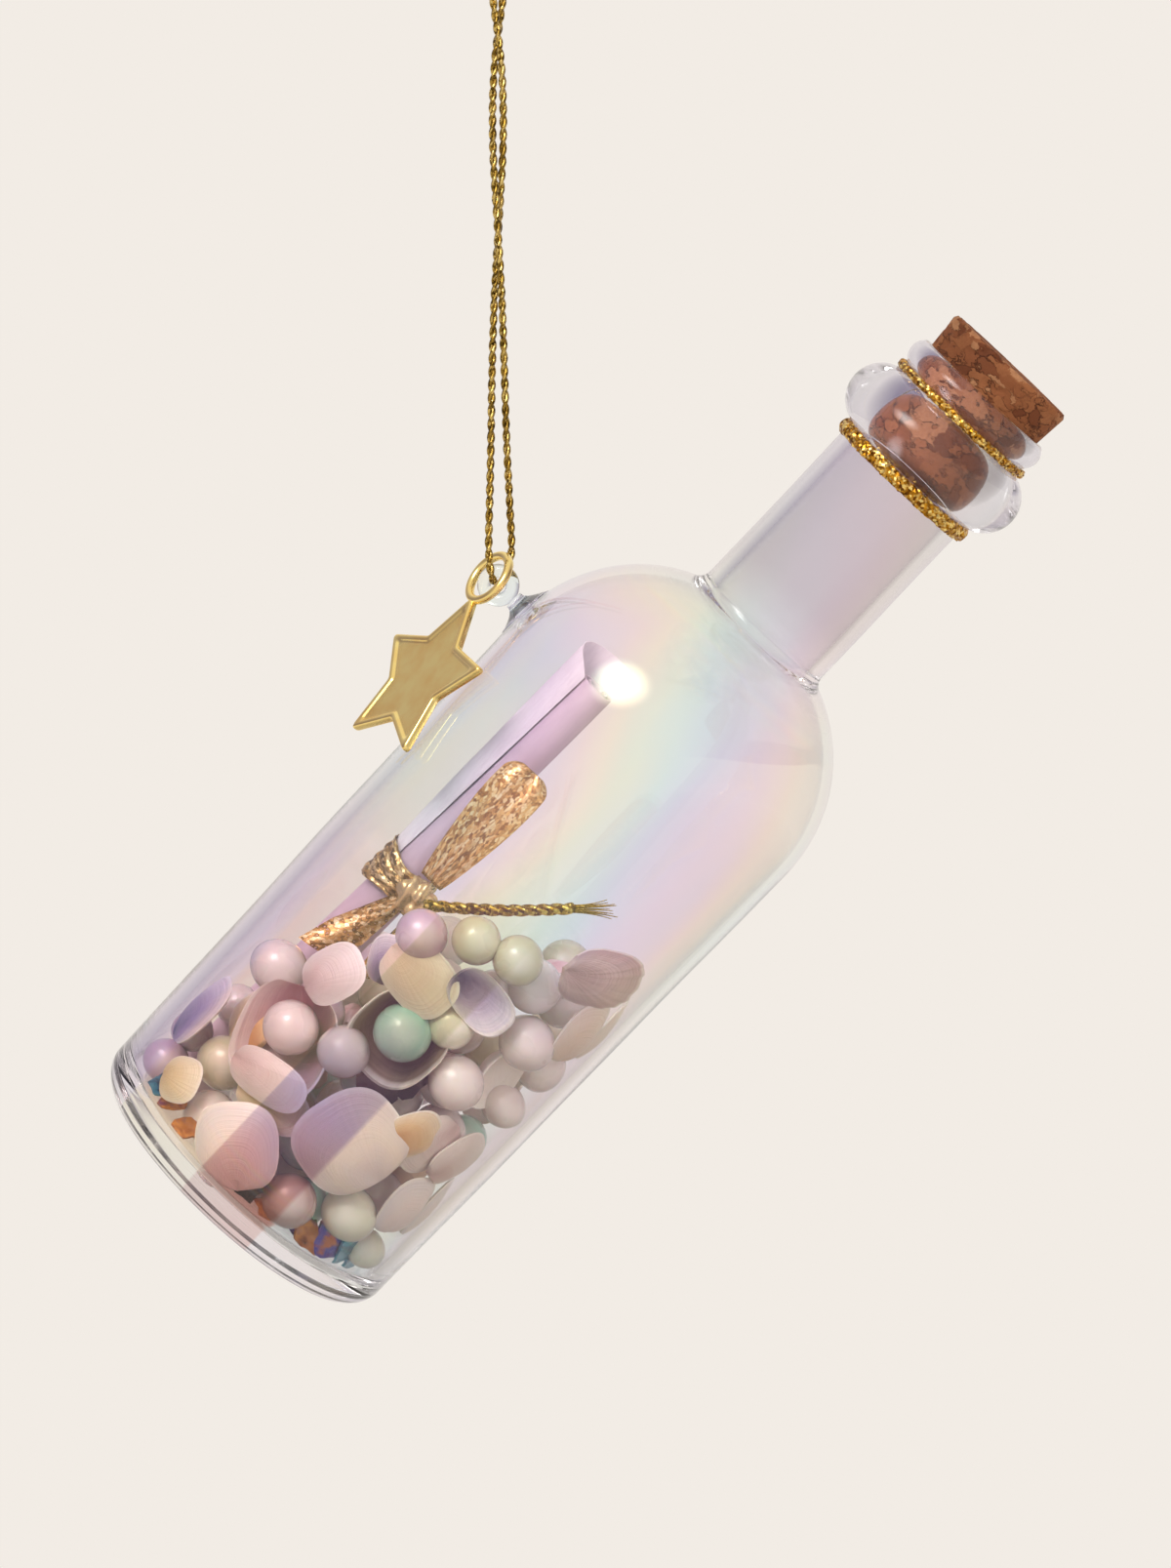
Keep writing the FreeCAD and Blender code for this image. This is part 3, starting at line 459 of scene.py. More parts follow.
def shell_finish(name, beak, middle, margin, lines):
    """A sea shell's face: colour from the beak to the margin, with growth lines and fine rays."""
    finish = Finish(
        name,
        Roughness=0.3,
        Coat_Weight=0.25,
        Coat_Roughness=0.12,
        Subsurface_Weight=0.12,
        Subsurface_Scale=0.001,
    )
    place = finish.uv()
    along = finish.parts(place)["Y"]
    cloud = finish.noise(finish.stretched(place, (2.5, 3.0, 1.0)), 1.6, 3.0)
    growth = finish.math("MULTIPLY_ADD", cloud, 0.35, finish.math("SUBTRACT", along, 0.17))
    body = finish.ramp(growth, (0.12, beak), (0.55, middle), (0.9, margin))
    body = finish.mix(finish.between(along, 0.93, 0.97, 0.0, 0.75), body, tone(250, 244, 238))
    rings = finish.noise(finish.stretched(place, (0.8, 26.0, 1.0)), 1.0, 2.0, 0.7)
    rays = finish.noise(finish.stretched(place, (34.0, 1.0, 1.0)), 1.0, 1.0)
    marks = finish.math("MULTIPLY_ADD", rays, 0.45, rings)
    finish.colour(finish.mix(finish.between(marks, 0.62, 0.95, 0.0, lines), body, beak))
    finish.emboss(marks, 0.6, 0.00018)
    return finish.material


def heap_shell(name, light, deep):
    """Small shells inside the heap: two tones and fine growth lines."""
    finish = Finish(name, Roughness=0.34, Coat_Weight=0.2, Coat_Roughness=0.15)
    mottle = finish.mottled(300.0, light, deep)
    finish.colour(mottle["Color"])
    place = finish.bottle_place()
    lines = finish.noise(finish.stretched(place, (0.6, 0.6, 3.0)), 1.0, 2.0, 0.7)
    finish.emboss(lines, 0.3, 0.00015)
    return finish.material


def flake_lustre(name, deep, low, high, edge):
    """Paua shell chips: a dark ground with bands of strong iridescent colour."""
    finish = Finish(name, Metallic=0.55, Roughness=0.2, Coat_Weight=0.6, Coat_Roughness=0.05)
    place = finish.bottle_place()
    swirl = finish.noise(finish.stretched(place, (0.3, 0.3, 0.5)), 1.0, 3.0, 0.6)
    finish.colour(finish.ramp(swirl, (0.32, deep), (0.45, low), (0.56, high), (0.68, edge)))
    finish.emboss(swirl, 0.4, 0.0003)
    return finish.material


# Mesh making


def finished(name, bm, materials, body, nodes=(), place=IN_BOTTLE, crease=None):
    """Makes a mesh a piece of the object: at its place, riding on a body, smooth or, at crease 0, flat."""
    bmesh.ops.transform(bm, matrix=place, verts=bm.verts)
    mesh = bpy.data.meshes.new(name)
    bm.to_mesh(mesh)
    bm.free()
    for material in materials:
        mesh.materials.append(material)
    for polygon in mesh.polygons:
        polygon.use_smooth = crease != 0
    if crease:
        mesh.set_sharp_from_angle(angle=math.radians(crease))
    piece = bpy.data.objects.new(name, mesh)
    bpy.context.scene.collection.objects.link(piece)
    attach(piece, body)
    if nodes:
        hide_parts(*nodes)
    return piece


def close_up(bm, distance=0.0005):
    """Joins the seams of a shape and points its faces outwards."""
    bmesh.ops.remove_doubles(bm, verts=bm.verts, dist=distance)
    bmesh.ops.recalc_face_normals(bm, faces=bm.faces)
    return bm


def sealed(bm, distance):
    """Joins the seams of a shape, closes its open ends and points its faces outwards; gives the ends."""
    bmesh.ops.remove_doubles(bm, verts=bm.verts, dist=distance)
    ends = bmesh.ops.holes_fill(bm, edges=[edge for edge in bm.edges if edge.is_boundary])["faces"]
    bmesh.ops.recalc_face_normals(bm, faces=bm.faces)
    return ends


def in_bottle(point, turn=0.0):
    """A place in the bottle, turned by degrees in the plane of the view."""
    return IN_BOTTLE @ Matrix.Translation(point) @ Matrix.Rotation(math.radians(turn), 4, "Y")


def polar(reach, turn, height):
    """A point at a reach from the upright axis."""
    return Vector((reach * math.cos(turn), reach * math.sin(turn), height))


def bell(offset, width):
    """1 at no offset, falling off smoothly to both sides."""
    return math.exp(-((offset / width) ** 2))


def arc(centre, radius, start, end, count):
    """Points (radius, height) along an arc between two angles in degrees."""
    turns = [math.radians(start + (end - start) * step / count) for step in range(count + 1)]
    return [(centre[0] + radius * math.cos(turn), centre[1] + radius * math.sin(turn)) for turn in turns]


def run(start, end, count):
    """Points along a straight run, both ends included."""
    a, b = Vector(start), Vector(end)
    return [tuple(a.lerp(b, step / count)) for step in range(count + 1)]


def swell(inner, low, height, bulge, count):
    """Points along a round bead that stands out from a cylinder."""
    half = height / 2
    radius = (half**2 + bulge**2) / (2 * bulge)
    reach = math.degrees(math.asin(half / radius))
    return arc((inner + bulge - radius, low + half), radius, -reach, reach, count)


def spun(bm, steps):
    """Spins a line once round the upright axis."""
    bmesh.ops.spin(
        bm,
        geom=bm.verts[:] + bm.edges[:],
        cent=(0, 0, 0),
        axis=(0, 0, 1),
        angle=math.tau,
        steps=steps,
        use_merge=True,
    )
    return close_up(bm)


def turned(outline, steps):
    """A round shape from an outline of (radius, height) points."""
    bm = bmesh.new()
    line = [bm.verts.new((radius, 0, height)) for radius, height in outline]
    for low, high in zip(line, line[1:]):
        bm.edges.new((low, high))
    return spun(bm, steps)


def hoop(radius, wire, sides, steps):
    """A ring of round wire about the upright axis."""
    bm = bmesh.new()
    bmesh.ops.create_circle(bm, segments=sides, radius=wire, matrix=Matrix.Translation((radius, 0, 0)))
    bmesh.ops.rotate(bm, verts=bm.verts, cent=(radius, 0, 0), matrix=Matrix.Rotation(math.pi / 2, 3, "X"))
    return spun(bm, steps)


def spread(columns, rows, place):
    """A sheet of columns by rows, each point moved to place(across, along), both from 0 to 1."""
    bm = bmesh.new()
    bm.loops.layers.uv.new("UVMap")
    bmesh.ops.create_grid(bm, x_segments=columns, y_segments=rows, size=0.5, calc_uvs=True)
    for vert in bm.verts:
        vert.co = place(vert.co.x + 0.5, vert.co.y + 0.5)
    return bm


def frames_along(points):
    """A pair of side directions at each point of a line, carried along without twisting."""
    count = len(points)
    ahead = [(points[min(k + 1, count - 1)] - points[max(k - 1, 0)]).normalized() for k in range(count)]
    side = ahead[0].orthogonal().normalized()
    frames = []
    for direction in ahead:
        side = (side - direction * side.dot(direction)).normalized()
        frames.append((side, direction.cross(side)))
    return frames


def tube(points, radii, sides=8):
    """A closed round yarn along points, with a radius at each."""
    frames = frames_along(points)
    last = len(points) - 1

    def place(around, along):
        k = round(along * last)
        first, second = frames[k]
        turn = math.tau * around
        return points[k] + (first * math.cos(turn) + second * math.sin(turn)) * radii[k]

    bm = spread(sides, last, place)
    sealed(bm, min(radii) * 0.05)
    return bm


def plies(points, count, offset, radius, pitch, sides=8):
    """Yarns twisted round a line, with the given pitch."""
    frames = frames_along(points)
    lengths = [0.0]
    for a, b in zip(points, points[1:]):
        lengths.append(lengths[-1] + (b - a).length)
    whole = bmesh.new()
    for ply in range(count):
        line = []
        for point, (first, second), length in zip(points, frames, lengths):
            turn = math.tau * (length / pitch + ply / count)
            line.append(point + (first * math.cos(turn) + second * math.sin(turn)) * offset)
        add_in(whole, tube(line, [radius] * len(line), sides))
    return whole


def add_in(whole, part):
    """Adds one mesh to another and frees it."""
    mesh = bpy.data.meshes.new("carrier")
    part.to_mesh(mesh)
    part.free()
    whole.from_mesh(mesh)
    bpy.data.meshes.remove(mesh)


def smooth_line(points, steps):
    """The smooth line that follows a route's points as its control points."""
    data = bpy.data.curves.new("route", "CURVE")
    data.dimensions = "3D"
    spline = data.splines.new("NURBS")
    spline.points.add(len(points) - 1)
    for control, point in zip(spline.points, points):
        control.co = (*point, 1.0)
    spline.order_u = 3
    spline.use_endpoint_u = True
    spline.resolution_u = steps
    carrier = bpy.data.objects.new("route", data)
    mesh = bpy.data.meshes.new_from_object(carrier)
    line = [vert.co.copy() for vert in mesh.vertices]
    bpy.data.objects.remove(carrier)
    bpy.data.curves.remove(data)
    bpy.data.meshes.remove(mesh)
    return line


# Camera: the photograph's viewing angle


def camera():
    """The photograph's view, fitted to the bottle's outline."""
    azimuth = math.radians(9.0)
    elevation = math.radians(3.0)
    focal_pixels = 4950.0
    image_width = 1200.0
    sensor = 36.0
    stand = Vector((86.9, -491.2, -58.3))
    data = bpy.data.cameras.new("camera")
    data.sensor_fit = "HORIZONTAL"
    data.sensor_width = sensor
    data.lens = sensor * focal_pixels / image_width
    viewer = bpy.data.objects.new("camera", data)
    viewer.location = stand * MM
    viewer.rotation_euler = (math.pi / 2 - elevation, 0, azimuth)
    bpy.context.scene.collection.objects.link(viewer)
    bpy.context.scene.camera = viewer


# The cord


def cord_route():
    """The cord's points: down from the knot, through the eyelet and up again beside itself."""
    reach = EYELET_WIRE + CORD_DIAMETER / 2 + 0.3
    knot_foot = 1.3
    # Right, back and share of the drop on the way down, and how much further right and back on the way up
    front = [(-0.45, 0.0, None), (-0.98, 0.0, 0.011), (-0.3, -0.62, 0.072), (0.52, -0.42, 0.165)]
    front += [(0.58, 0.26, 0.28), (0.05, 0.62, 0.4), (-0.46, 0.46, 0.525), (-0.64, -0.02, 0.65)]
    front += [(-0.66, -0.55, 0.775), (-0.76, -1.0, 0.882), (-0.8, -reach, 0.954), (-0.3, -reach, 1.0)]
    lean = {0.954: (0.3, 0.75), 0.882: (0.2, 0.6), 0.775: (0.08, 0.2)}

    def point(x, y, share):
        return Vector((x, y, knot_foot if share is None else -CORD_DROP * share)) * MM

    points = [point(*place) for place in front]
    for x, y, share in reversed(front):
        right, back = lean.get(share, (0.0, 0.0))
        points.append(point(right - x, back - y, share))
    return points


def hanging_cord(thread):
    """The two-ply cord, doubled through the eyelet and tied above the view."""
    line = smooth_line(cord_route(), steps=26)
    length = sum((b - a).length for a, b in zip(line, line[1:]))
    points = [point / MM for point in line]
    bm = plies(points, count=2, offset=0.19, radius=0.235, pitch=2.7)
    piece = finished("gold_cord", bm, [thread], "cord", ["hanging_cord"], IN_WORLD)
    knot = tied_knot(thread)
    tuple(line[0])


def tied_knot(thread):
    """The knot above the view: the two yarns wound round each other, with two short ends."""
    foot = 1.55
    height = 1.9
    turns = 2.4
    steps = 90
    end_rise = 1.7
    end_steps = 13
    whole = bmesh.new()
    for start in (math.pi, 0):
        line = []
        for step in range(steps + 1):
            share = step / steps
            turn = math.tau * turns * share + start
            radius = 0.62 + 0.12 * math.sin(math.pi * share)
            line.append(polar(radius, turn, foot + height * share))
        end = line[-1]
        away = Vector((end.x, end.y, 0)).normalized() + Vector((0, 0, end_rise))
        line += [end + away * (step / end_steps) for step in range(1, end_steps + 1)]
        add_in(whole, tube(line, [0.3 + 0.06 * math.sin(9 * k) for k in range(len(line))]))
    core = [(0, foot - 0.2), (0.45, foot), (0.6, foot + 1.0), (0.45, foot + 2.1), (0, foot + 2.3)]
    add_in(whole, turned(core, 18))
    return finished("cord_tie", whole, [thread], "cord", ["cord_knot"], IN_WORLD)


# The glass, the cork and the glitter


def bottle_outline():
    """The glass's section: out along the base, up the outside, over the lip and down the inside."""
    shoulder_centre = (BODY_RADIUS - SHOULDER_ROUND, BODY_HEIGHT)
    root_radius = NECK_RADIUS + NECK_ROOT
    reach = SHOULDER_ROUND + NECK_ROOT
    turn = math.acos((root_radius - shoulder_centre[0]) / reach)
    root_height = BODY_HEIGHT + reach * math.sin(turn)
    inner_round = SHOULDER_ROUND - SHOULDER_WALL
    inner_turn = math.acos((NECK_BORE + NECK_ROOT - shoulder_centre[0]) / (inner_round + NECK_ROOT))
    bore_height = BODY_HEIGHT + (inner_round + NECK_ROOT) * math.sin(inner_turn)
    inner_corner = BASE_CORNER - BASE_WALL / 2
    inner_base = BASE_RADIUS - BASE_WALL
    inner_foot = BASE_THICKNESS + inner_corner
    taper = (CORK_TOP_RADIUS - CORK_LOW_RADIUS) / CORK_LENGTH
    mouth = CORK_LOW_RADIUS + taper * (LIP - CORK_FOOT) + CORK_CLEARANCE
    outline = run((0, 0), (BASE_RADIUS - BASE_CORNER, 0), 8)
    outline += arc((BASE_RADIUS - BASE_CORNER, BASE_CORNER), BASE_CORNER, -90, 0, 12)
    outline += run((BASE_RADIUS, BASE_CORNER), (BODY_RADIUS, BODY_HEIGHT), 18)
    outline += arc(shoulder_centre, SHOULDER_ROUND, 0, math.degrees(turn), 26)
    outline += arc((root_radius, root_height), NECK_ROOT, 180 + math.degrees(turn), 180, 8)
    outline += run((NECK_RADIUS, root_height), (NECK_RADIUS, RING_BASE), 8)
    outline += swell(NECK_RADIUS, RING_BASE, RING_HEIGHT, RING_BULGE, 22)
    outline += swell(NECK_RADIUS, LIP_FOOT, FLANGE_HEIGHT, FLANGE_BULGE, 12)
    outline += run((mouth, LIP), (CORK_LOW_RADIUS + CORK_CLEARANCE, CORK_FOOT), 5)
    outline += run((NECK_BORE, CORK_FOOT), (NECK_BORE, bore_height), 8)
    outline += arc((NECK_BORE + NECK_ROOT, bore_height), NECK_ROOT, 180, 180 + math.degrees(inner_turn), 8)
    outline += arc(shoulder_centre, inner_round, math.degrees(inner_turn), 0, 26)
    outline += run((BODY_RADIUS - SHOULDER_WALL, BODY_HEIGHT), (inner_base, inner_foot), 18)
    outline += arc((inner_base - inner_corner, inner_foot), inner_corner, 0, -90, 10)
    outline += run((inner_base - inner_corner, BASE_THICKNESS), (0, BASE_THICKNESS), 8)
    return outline


def bottle(glass):
    """The glass, with the slight ripple of blown work."""
    ripple = 0.1
    bm = turned(bottle_outline(), steps=144)
    for vert in bm.verts:
        radius = math.hypot(vert.co.x, vert.co.y)
        if radius > 1.0:
            vert.co.xy *= 1 + ripple * noise.noise(vert.co * 0.07) / radius
    finished("bottle_glass", bm, [glass], "bottle", ["glass_bottle"], crease=50)


def eyelet(glass):
    """A glass loop on a foot that flares out on to the wall."""
    seat = BODY_RADIUS - SHOULDER_WALL / 2
    top = EYELET_STAND + SHOULDER_WALL / 2 - EYELET_RING - EYELET_WIRE
    flare = 2.4
    lift = 0.02

    def place(around, along):
        turn = math.tau * around
        radius = EYELET_NECK + (EYELET_FOOT - EYELET_NECK) * (1 - along) ** flare
        side = radius * math.cos(turn)
        rise = radius * math.sin(turn)
        over = max(0.0, EYELET_ON_BOTTLE.z + rise - BODY_HEIGHT)
        wall = BODY_RADIUS - SHOULDER_ROUND + math.sqrt(SHOULDER_ROUND**2 - over**2)
        ground = math.sqrt(wall**2 - side**2) - seat + lift
        return Vector((-seat - ground - (top - ground) * along, side, EYELET_ON_BOTTLE.z + rise))

    bm = spread(48, 14, place)
    sealed(bm, 0.001)
    loop = hoop(EYELET_RING, EYELET_WIRE, sides=20, steps=56)
    bmesh.ops.rotate(loop, verts=loop.verts, cent=(0, 0, 0), matrix=Matrix.Rotation(math.pi / 2, 3, "X"))
    bmesh.ops.translate(loop, verts=loop.verts, vec=EYELET_ON_BOTTLE)
    add_in(bm, loop)
    finished("eyelet_glass", bm, [glass], "bottle", ["glass_eyelet"], crease=50)


def stopper(bark):
    """The cork: a tapered plug with broken edges, pits and cracks in its surface."""
    edge_round = 0.4
    pit_depth = 0.7
    chip_depth = 0.5
    deepest = 0.8
    share_in_neck = 0.35
    low_edge = (CORK_LOW_RADIUS + 0.03 * (CORK_TOP_RADIUS - CORK_LOW_RADIUS), CORK_FOOT + edge_round)
    high_edge = (CORK_TOP_RADIUS - 0.04, CORK_TOP - edge_round)
    outline = run((0, CORK_FOOT), (CORK_LOW_RADIUS - edge_round, CORK_FOOT), 12)
    outline += run(low_edge, high_edge, 36)
    outline += run((CORK_TOP_RADIUS - 0.3, CORK_TOP), (0, CORK_TOP), 18)
    bm = turned(outline, 120)
    for vert in bm.verts:
        radius = math.hypot(vert.co.x, vert.co.y)
        pit = max(0.0, noise.turbulence(vert.co * 0.55, 3, False) - 0.42)
        chip = max(0.0, noise.noise(vert.co * 0.9 + Vector((7, 3, 1))) - 0.25)
        free = 1.0 if vert.co.z > LIP + 0.3 else share_in_neck
        chip *= 1 + 2.4 * bell(vert.co.z - CORK_TOP, 0.9) * bell(radius - CORK_TOP_RADIUS, 1.2)
        depth = free * min(deepest, pit_depth * pit + chip_depth * chip)
        inward = Vector((-vert.co.x, -vert.co.y, 0)) / max(radius, 0.1)
        if vert.co.z > CORK_TOP - 0.05:
            vert.co.z -= depth * 0.8
        if radius > 1.0:
            vert.co += inward * depth
    finished("cork_stopper", bm, [bark], "cork", ["cork"], crease=45)


def glitter_ring(name, node, low, high, glitter, seed):
    """A band of glitter: a bead of glue broken into small facets that face every way."""
    inner = NECK_RADIUS + 0.05
    outer = inner + BAND_THICKNESS * 0.5
    outline = [(inner, low), (outer, low)]
    outline += swell(outer, low, high - low, BAND_THICKNESS * 0.45, 6)[1:-1]
    outline += [(outer, high), (inner, high), (inner, low)]
    bm = turned(outline, steps=190)
    scatter = random.Random(seed)
    for vert in bm.verts:
        radius = math.hypot(vert.co.x, vert.co.y)
        if radius > inner + 0.1:
            vert.co.xy *= 1 + scatter.uniform(-0.16, 0.08) / radius
            vert.co.z += scatter.uniform(-0.09, 0.09)
    bmesh.ops.triangulate(bm, faces=bm.faces)
    finished(name, bm, [glitter], "bottle", [node], crease=0)


# The star tag


STAR_CORNERS = 10
STAR_STEP = math.tau / STAR_CORNERS
STAR_EDGE = math.sqrt(STAR_RADIUS**2 + STAR_WAIST**2 - 2 * STAR_RADIUS * STAR_WAIST * math.cos(STAR_STEP))
STAR_APOTHEM = STAR_RADIUS * STAR_WAIST * math.sin(STAR_STEP) / STAR_EDGE
STAR_CORNER_POINTS = 6
STAR_TIP_CUT = 0.75
STAR_WAIST_CUT = 0.35


def star_point(around, inset):
    """A point on the star's outline, drawn in by an inset, with rounded tips and waists."""
    corner, share = divmod(around * STAR_CORNERS * STAR_CORNER_POINTS, STAR_CORNER_POINTS)
    corner = int(corner)
    share = share / (STAR_CORNER_POINTS - 1)

    def at(index):
        reach = STAR_RADIUS if index % 2 == 0 else STAR_WAIST
        turn = math.pi / 2 + STAR_STEP * index
        return Vector((reach * math.cos(turn), reach * math.sin(turn))) * (1 - inset / STAR_APOTHEM)

    here = at(corner)
    cut = STAR_TIP_CUT if corner % 2 == 0 else STAR_WAIST_CUT
    before = here + (at(corner - 1) - here).normalized() * cut
    after = here + (at(corner + 1) - here).normalized() * cut
    return before.lerp(here, share).lerp(here.lerp(after, share), share)


def star(rim_gold, face_gold):
    """A stamped star with a raised, rounded rim round a sanded face, and a ring at its tip."""
    floor = STAR_PLATE - STAR_RECESS
    # The section from the back to the sanded face: how far in from the outline, and how high
    section = [(0.2, 0.0), (0.06, 0.05), (0.0, 0.2), (0.0, STAR_PLATE - 0.3), (0.05, STAR_PLATE - 0.13)]
    section += [(0.16, STAR_PLATE - 0.03), (0.3, STAR_PLATE), (0.52, STAR_PLATE - 0.01)]
    section += [(0.66, STAR_PLATE - 0.08), (0.76, floor + 0.04), (0.86, floor), (STAR_RIM + 0.1, floor)]
    last = len(section) - 1

    def place(around, along):
        inset, height = section[round(along * last)]
        point = star_point(around % 1.0, inset)
        return Vector((point.x, point.y, height))

    bm = spread(STAR_CORNERS * STAR_CORNER_POINTS, last, place)
    caps = sealed(bm, 0.0005)
    for face in caps:
        face.material_index = 1
    bmesh.ops.triangulate(bm, faces=caps)
    ring = hoop(STAR_RING_HOLE + STAR_RING_WIRE / 2, STAR_RING_WIRE / 2, sides=20, steps=72)
    bmesh.ops.translate(ring, verts=ring.verts, vec=(0, STAR_RING_HEIGHT, STAR_PLATE / 2))
    add_in(bm, ring)
    lean = math.radians(STAR_LEAN)
    slant = math.radians(STAR_SLANT)
    across = Vector((math.cos(lean), -math.sin(lean), 0))
    outward = Vector((-math.sin(lean), -math.cos(lean), 0))
    upright = Vector((0, 0, 1))
    right = across * math.cos(slant) + upright * math.sin(slant)
    up = upright * math.cos(slant) - across * math.sin(slant)
    ring_at = EYELET_ON_BOTTLE + Vector((-STAR_RING_OUT, -STAR_RING_FRONT, 0))
    centre = ring_at - up * STAR_RING_HEIGHT - outward * (STAR_PLATE / 2)
    turn = Matrix((right, up, outward)).transposed().to_4x4()
    place = IN_BOTTLE @ Matrix.Translation(centre) @ turn
    golds = [rim_gold, face_gold]
    finished("star_plate", bm, golds, "star_tag", ["star_tag"], place, crease=35)


# The message and its ribbon

SCROLL_FOOT = Vector((-11.2, 2.0, 3.4))
SCROLL_TOP = Vector((-8.0, -2.0, 65.0))
SCROLL_FOOT_RADIUS = 3.6
SCROLL_TOP_RADIUS = 2.35
SCROLL_AXIS = (SCROLL_TOP - SCROLL_FOOT).normalized()
SCROLL_LENGTH = (SCROLL_TOP - SCROLL_FOOT).length
SCROLL_PLACE = Matrix.Translation(SCROLL_FOOT) @ SCROLL_AXIS.to_track_quat("Z", "Y").to_matrix().to_4x4()
LEAF_FOOT = 35.0
LEAF_RISE = 3.2
LEAF_OPENING = 2.3
RIBBON_HEIGHT = 36.5
RIBBON_WIDTH = 4.6
KNOT_AT = Vector((-6.36, -4.89, 36.5))


def scroll_radius(height):
    """The roll's radius at a height along it."""
    return SCROLL_FOOT_RADIUS + (SCROLL_TOP_RADIUS - SCROLL_FOOT_RADIUS) * height / SCROLL_LENGTH


def scroll(paper, paper_inner_and_lit):
    """A sheet rolled a little over twice, with a last leaf that stands off it above the ribbon."""
    turns = 2.3
    pitch = 0.6
    thickness = 0.2
    start = math.radians(-60)
    # The sheet's last edge stands off a little
    lift = 0.25
    lift_from = 0.93

    def place(around, along):
        height = SCROLL_LENGTH * along
        turn = math.tau * turns * around + start
        reach = scroll_radius(height) - thickness - pitch * turns * (1 - around)
        reach += lift * max(0.0, around - lift_from) / (1 - lift_from)
        reach = min(reach, scroll_radius(height))
        sway = 0.06 * noise.noise(Vector((3 * around, 0.1 * height, 2)))
        return polar(reach + sway, turn, height)

    def leaf_place(around, along):
        turn = math.radians(70 + 155 * around)
        top = SCROLL_TOP.z + LEAF_RISE * (1 - around**3)
        height = LEAF_FOOT + (top - LEAF_FOOT) * along
        centre = SCROLL_FOOT.lerp(SCROLL_TOP, (height - SCROLL_FOOT.z) / (SCROLL_TOP.z - SCROLL_FOOT.z))
        opening = 0.15 - 0.45 * around**2 + LEAF_OPENING * math.sin(math.pi * around) * along**0.6
        reach = scroll_radius(height - SCROLL_FOOT.z) + opening
        reach += 0.07 * noise.noise(Vector((2 * around, 0.15 * height, 5)))
        return Vector((centre.x, centre.y, 0)) + polar(reach, turn, height)

    bm = spread(96, 40, place)
    bmesh.ops.recalc_face_normals(bm, faces=bm.faces)
    bmesh.ops.solidify(bm, geom=bm.faces[:], thickness=thickness)
    bmesh.ops.transform(bm, matrix=SCROLL_PLACE, verts=bm.verts)
    leaf = spread(36, 30, leaf_place)
    bmesh.ops.recalc_face_normals(leaf, faces=leaf.faces)
    bmesh.ops.solidify(leaf, geom=leaf.faces[:], thickness=thickness / 2)
    # The leaf takes the paler paper: partly the sheet's paler inner side, partly painted light against the
    # shade in the gap behind the leaf
    for face in leaf.faces:
        face.material_index = 1
    add_in(bm, leaf)
    finished("paper_roll", bm, [paper, paper_inner_and_lit], "bottle", ["message_scroll"], crease=40)


def ribbon_wrap(net):
    """The band round the roll, drawn in towards the knot."""

    def place(around, along):
        turn = math.tau * around
        width = RIBBON_WIDTH * (1.15 - 0.4 * bell(around - 0.66, 0.13))
        height = RIBBON_HEIGHT - SCROLL_FOOT.z + width * (along - 0.5)
        fold = 0.1 * math.sin(along * 22 + 2.5 * math.sin(turn * 2)) + 0.05 * math.sin(turn * 17)
        return polar(scroll_radius(height) + 0.42 + fold, turn, height)

    bm = close_up(spread(96, 20, place))
    bmesh.ops.solidify(bm, geom=bm.faces[:], thickness=0.12)
    finished("ribbon_band", bm, [net], "bottle", ["ribbon_wrap"], IN_BOTTLE @ SCROLL_PLACE)


def ribbon_knot(net):
    """A folded lump with a hollow where the twisted end comes out."""
    way_out = Vector((0.25, -0.95, -0.2))
    bm = bmesh.new()
    bmesh.ops.create_uvsphere(bm, u_segments=40, v_segments=28, radius=1.0, calc_uvs=True)
    for vert in bm.verts:
        way = vert.co.normalized()
        fold = 0.14 * math.sin(9 * way.x + 5 * way.z) + 0.12 * noise.noise(way * 3.2)
        hollow = 0.45 * bell((way - way_out).length, 0.34)
        vert.co = Vector((2.3 * way.x, 1.5 * way.y, 2.0 * way.z)) * (1 + fold - hollow)
    finished("ribbon_tie", bm, [net], "bottle", ["ribbon_knot"], in_bottle(KNOT_AT, 24))


def ribbon_bow(net):
    """The loop above the knot, up one side and down the other."""
    length = 15.6

    def place(around, along):
        rise = 1 - abs(2 * along - 1)
        height = 0.6 + length * (1 - (1 - rise) ** 1.35)
        width = 2.6 + 2.9 * math.sin(math.pi * min(1.0, rise * 0.72)) ** 0.8
        round_end = math.sqrt(max(0.0, 1 - max(0.0, (height - length + 0.9) / 1.6) ** 2))
        side = (around - 0.5) * width * (0.25 + 0.75 * round_end)
        depth = 0.99 * math.sin(math.pi * along * 2)
        wave = 0.16 * math.sin(5.5 * rise + 3 * around) + 0.1 * math.sin(14 * around)
        return Vector((side, -depth + wave, height))

    bm = close_up(spread(16, 84, place), 0.02)
    at = in_bottle(KNOT_AT + Vector((0.0, -1.25, 2.0)))
    finished("ribbon_bow", bm, [net], "bottle", ["ribbon_upper_loop"], at)


def ribbon_end(side, start, turn, width, length, net):
    """A loose end below the knot that widens downwards and is cut at a slant."""

    def place(around, along):
        opening = 0.45 + 0.55 * min(1.0, along * 1.6)
        cut = 1.0 - 0.18 * around
        wave = 0.2 * math.sin(7 * around + 2 * along) + 0.25 * math.sin(4 * along)
        return Vector(((around - 0.5) * width * opening, 0.15 + wave, -length * along * cut))

    at = in_bottle(KNOT_AT + Vector(start), turn)
    node = f"ribbon_lower_tail_{side}"
    finished(f"ribbon_end_{side}", spread(14, 40, place), [net], "bottle", [node], at)


